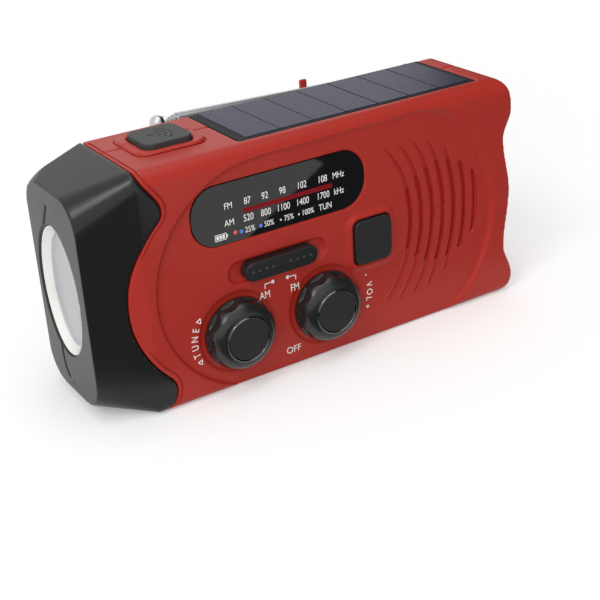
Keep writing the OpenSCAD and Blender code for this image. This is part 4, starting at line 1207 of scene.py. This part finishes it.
def make_panel_print():
    """The words and marks beside the slider and round the knobs."""
    white = bmesh.new()
    for label, at in BAND_LABELS:
        letters(white, label, at, height=2.1, squeeze=0.75)
    letters(white, "OFF", OFF_AT, ARC_LABEL, squeeze=0.95)
    for dot, *bars in BAND_MARKS:
        ink_dot(white, dot, BAND_DOT_R)
        for low, high in bars:
            ink_bar(white, low, high)
    arc_letters(white, "TUNE", TUNING, TUNE_R, TUNE_ANGLES)
    arc_letters(white, "-VOL+", VOLUME, VOLUME_R, VOLUME_ANGLES)
    for angle, way in ARROWS:
        arrow_head(white, TUNING, TUNE_R, angle, way)
    print_piece("panel_print", white, WHITE_INK)


# Camera of the photograph

CAMERA_AT = (-158.3, -267.4, 161.5)
CAMERA_TURN = 31.29
CAMERA_DROP = 26.22
CAMERA_ROLL = 3.51
CAMERA_LENS = 75.06


def set_camera():
    """A camera that looks to the rear, turned to the right, tipped down and rolled a little."""
    turn, drop, roll = (math.radians(a) for a in (CAMERA_TURN, CAMERA_DROP, CAMERA_ROLL))
    ahead = Vector((math.sin(turn) * math.cos(drop), math.cos(turn) * math.cos(drop), -math.sin(drop)))
    level = ahead.cross(Vector((0, 0, 1))).normalized()
    under = ahead.cross(level)
    right = level * math.cos(roll) + under * math.sin(roll)
    down = under * math.cos(roll) - level * math.sin(roll)
    data = bpy.data.cameras.new("camera")
    data.sensor_width = 36
    data.lens = CAMERA_LENS
    data.clip_start = 0.01
    camera = loose_object("camera", data)
    facing = Matrix((right, -down, -ahead)).transposed().to_4x4()
    camera.matrix_world = Matrix.Translation(Vector(CAMERA_AT) * MM) @ facing
    bpy.context.scene.camera = camera


# Stage, in metres

FLOOR_SIZE = 8
FLOOR_COLOUR = 0.82
FLOOR_LIFT = 0.225
FLOOR_CLEAR = 0.14
FLOOR_RISE = 0.35
FLOOR_MORE = 0.6


def seen_directly(tree):
    """1 for rays that show the background: from the camera, in gloss and through glass."""
    rays = tree.nodes.new("ShaderNodeLightPath").outputs
    bounced = math_node(tree, "MAXIMUM", rays["Is Glossy Ray"], rays["Is Transmission Ray"])
    return math_node(tree, "MAXIMUM", rays["Is Camera Ray"], bounced)


def make_floor():
    """White floor that keeps the shadow and grows a little lighter away from the radio."""
    bm = bmesh.new()
    bmesh.ops.create_grid(bm, x_segments=1, y_segments=1, size=FLOOR_SIZE / 2)
    floor = loose_object("floor", mesh_of(bm, "floor"))
    finish, tree, shader = blank_finish("floor")
    tree.nodes.remove(shader)
    paper = tree.nodes.new("ShaderNodeBsdfDiffuse")
    paper.inputs["Color"].default_value = (FLOOR_COLOUR, FLOOR_COLOUR, FLOOR_COLOUR, 1)
    glow = tree.nodes.new("ShaderNodeEmission")
    away = tree.nodes.new("ShaderNodeVectorMath")
    away.operation = "LENGTH"
    tree.links.new(tree.nodes.new("ShaderNodeTexCoord").outputs["Object"], away.inputs[0])
    beyond = math_node(tree, "SUBTRACT", away.outputs["Value"], FLOOR_CLEAR)
    rise = math_node(tree, "MULTIPLY", beyond, FLOOR_RISE)
    more = math_node(tree, "MINIMUM", math_node(tree, "MAXIMUM", rise, 0), FLOOR_MORE)
    lift = math_node(tree, "ADD", more, FLOOR_LIFT)
    tree.links.new(math_node(tree, "MULTIPLY", seen_directly(tree), lift), glow.inputs["Strength"])
    both = tree.nodes.new("ShaderNodeAddShader")
    tree.links.new(paper.outputs[0], both.inputs[0])
    tree.links.new(glow.outputs[0], both.inputs[1])
    tree.links.new(both.outputs[0], tree.nodes["Material Output"].inputs["Surface"])
    floor.data.materials.append(finish)


CARD_NEAR = -0.034
CARD_FAR = -0.6
CARD_BREAK = -0.089
CARD_LEFT = -0.3
CARD_RIGHT = 0.4
CARD_GAP_NEAR = (0.005, 0.010)
CARD_GAP_FAR = (0.005, 0.080)
CARD_GAP_END = -0.140
CARD_UP = 0.001
SIDE_CARD_X = 0.45
SIDE_CARD_Y = (-0.9, 0.5)
SIDE_CARD_TOP = 1.0


def make_dark_cards():
    """Dark cards that show only in reflections: one in front with a gap in it, and one on the right."""
    near_left, near_right = CARD_GAP_NEAR
    far_left, far_right = CARD_GAP_FAR
    outlines = (
        ((CARD_LEFT, CARD_NEAR), (CARD_RIGHT, CARD_NEAR), (CARD_RIGHT, CARD_BREAK), (CARD_LEFT, CARD_BREAK)),
        ((CARD_LEFT, CARD_BREAK), (near_left, CARD_BREAK), (far_left, CARD_FAR), (CARD_LEFT, CARD_FAR)),
        ((near_right, CARD_BREAK), (CARD_RIGHT, CARD_BREAK), (CARD_RIGHT, CARD_FAR), (far_right, CARD_FAR),
         (far_right, CARD_GAP_END)))
    bm = bmesh.new()
    for outline in outlines:
        bm.faces.new([bm.verts.new((x, y, CARD_UP)) for x, y in outline])
    near, far = SIDE_CARD_Y
    side = ((near, CARD_UP), (far, CARD_UP), (far, SIDE_CARD_TOP), (near, SIDE_CARD_TOP))
    bm.faces.new([bm.verts.new((SIDE_CARD_X, y, z)) for y, z in side])
    cards = loose_object("dark_cards", mesh_of(bm, "dark_cards"))
    cards.data.materials.append(plastic("black card", (0.01, 0.01, 0.01), 0.9, shine=0))
    for ray in ("camera", "diffuse", "shadow", "transmission", "volume_scatter"):
        setattr(cards, "visible_" + ray, False)


AMBIENT = 0.52


def make_world():
    """White where it is seen, and dimmer as light on the radio."""
    world = bpy.data.worlds.new("studio")
    bpy.context.scene.world = world
    world.use_nodes = True
    tree = world.node_tree
    sky = tree.nodes["Background"]
    sky.inputs["Color"].default_value = (1, 1, 1, 1)
    white = math_node(tree, "MULTIPLY", seen_directly(tree), 1 - AMBIENT)
    tree.links.new(math_node(tree, "ADD", white, AMBIENT), sky.inputs["Strength"])


LAMP_AIM = (0, 0, 0.03)


def add_lamp(name, at, size, power, in_gloss=True):
    """A soft lamp aimed at the radio; one that isn't in gloss leaves no reflection."""
    data = bpy.data.lights.new(name, "AREA")
    data.shape = "RECTANGLE"
    data.size, data.size_y = size
    data.energy = power
    lamp = loose_object(name, data)
    lamp.visible_glossy = in_gloss
    lamp.location = at
    lamp.rotation_euler = (Vector(LAMP_AIM) - Vector(at)).to_track_quat("-Z", "Y").to_euler()


def make_lights():
    add_lamp("top softbox", at=(0.05, -0.05, 1.2), size=(0.9, 0.6), power=3.3)
    add_lamp("edge softbox", at=(-0.8, -0.36, 0.97), size=(0.3, 0.42), power=3.4)
    add_lamp("left softbox", at=(-0.8, -0.9, 0.6), size=(0.7, 0.7), power=6, in_gloss=False)


finish_frame()
set_camera()
make_case()
make_speaker_cloth()
make_lamp_end()
make_solar_cells()
make_knobs()
make_slider()
make_buttons()
make_crank()
make_screws()
make_dial_print()
make_panel_print()
make_floor()
make_dark_cards()
make_world()
make_lights()
bpy.context.scene.view_settings.view_transform = "Standard"
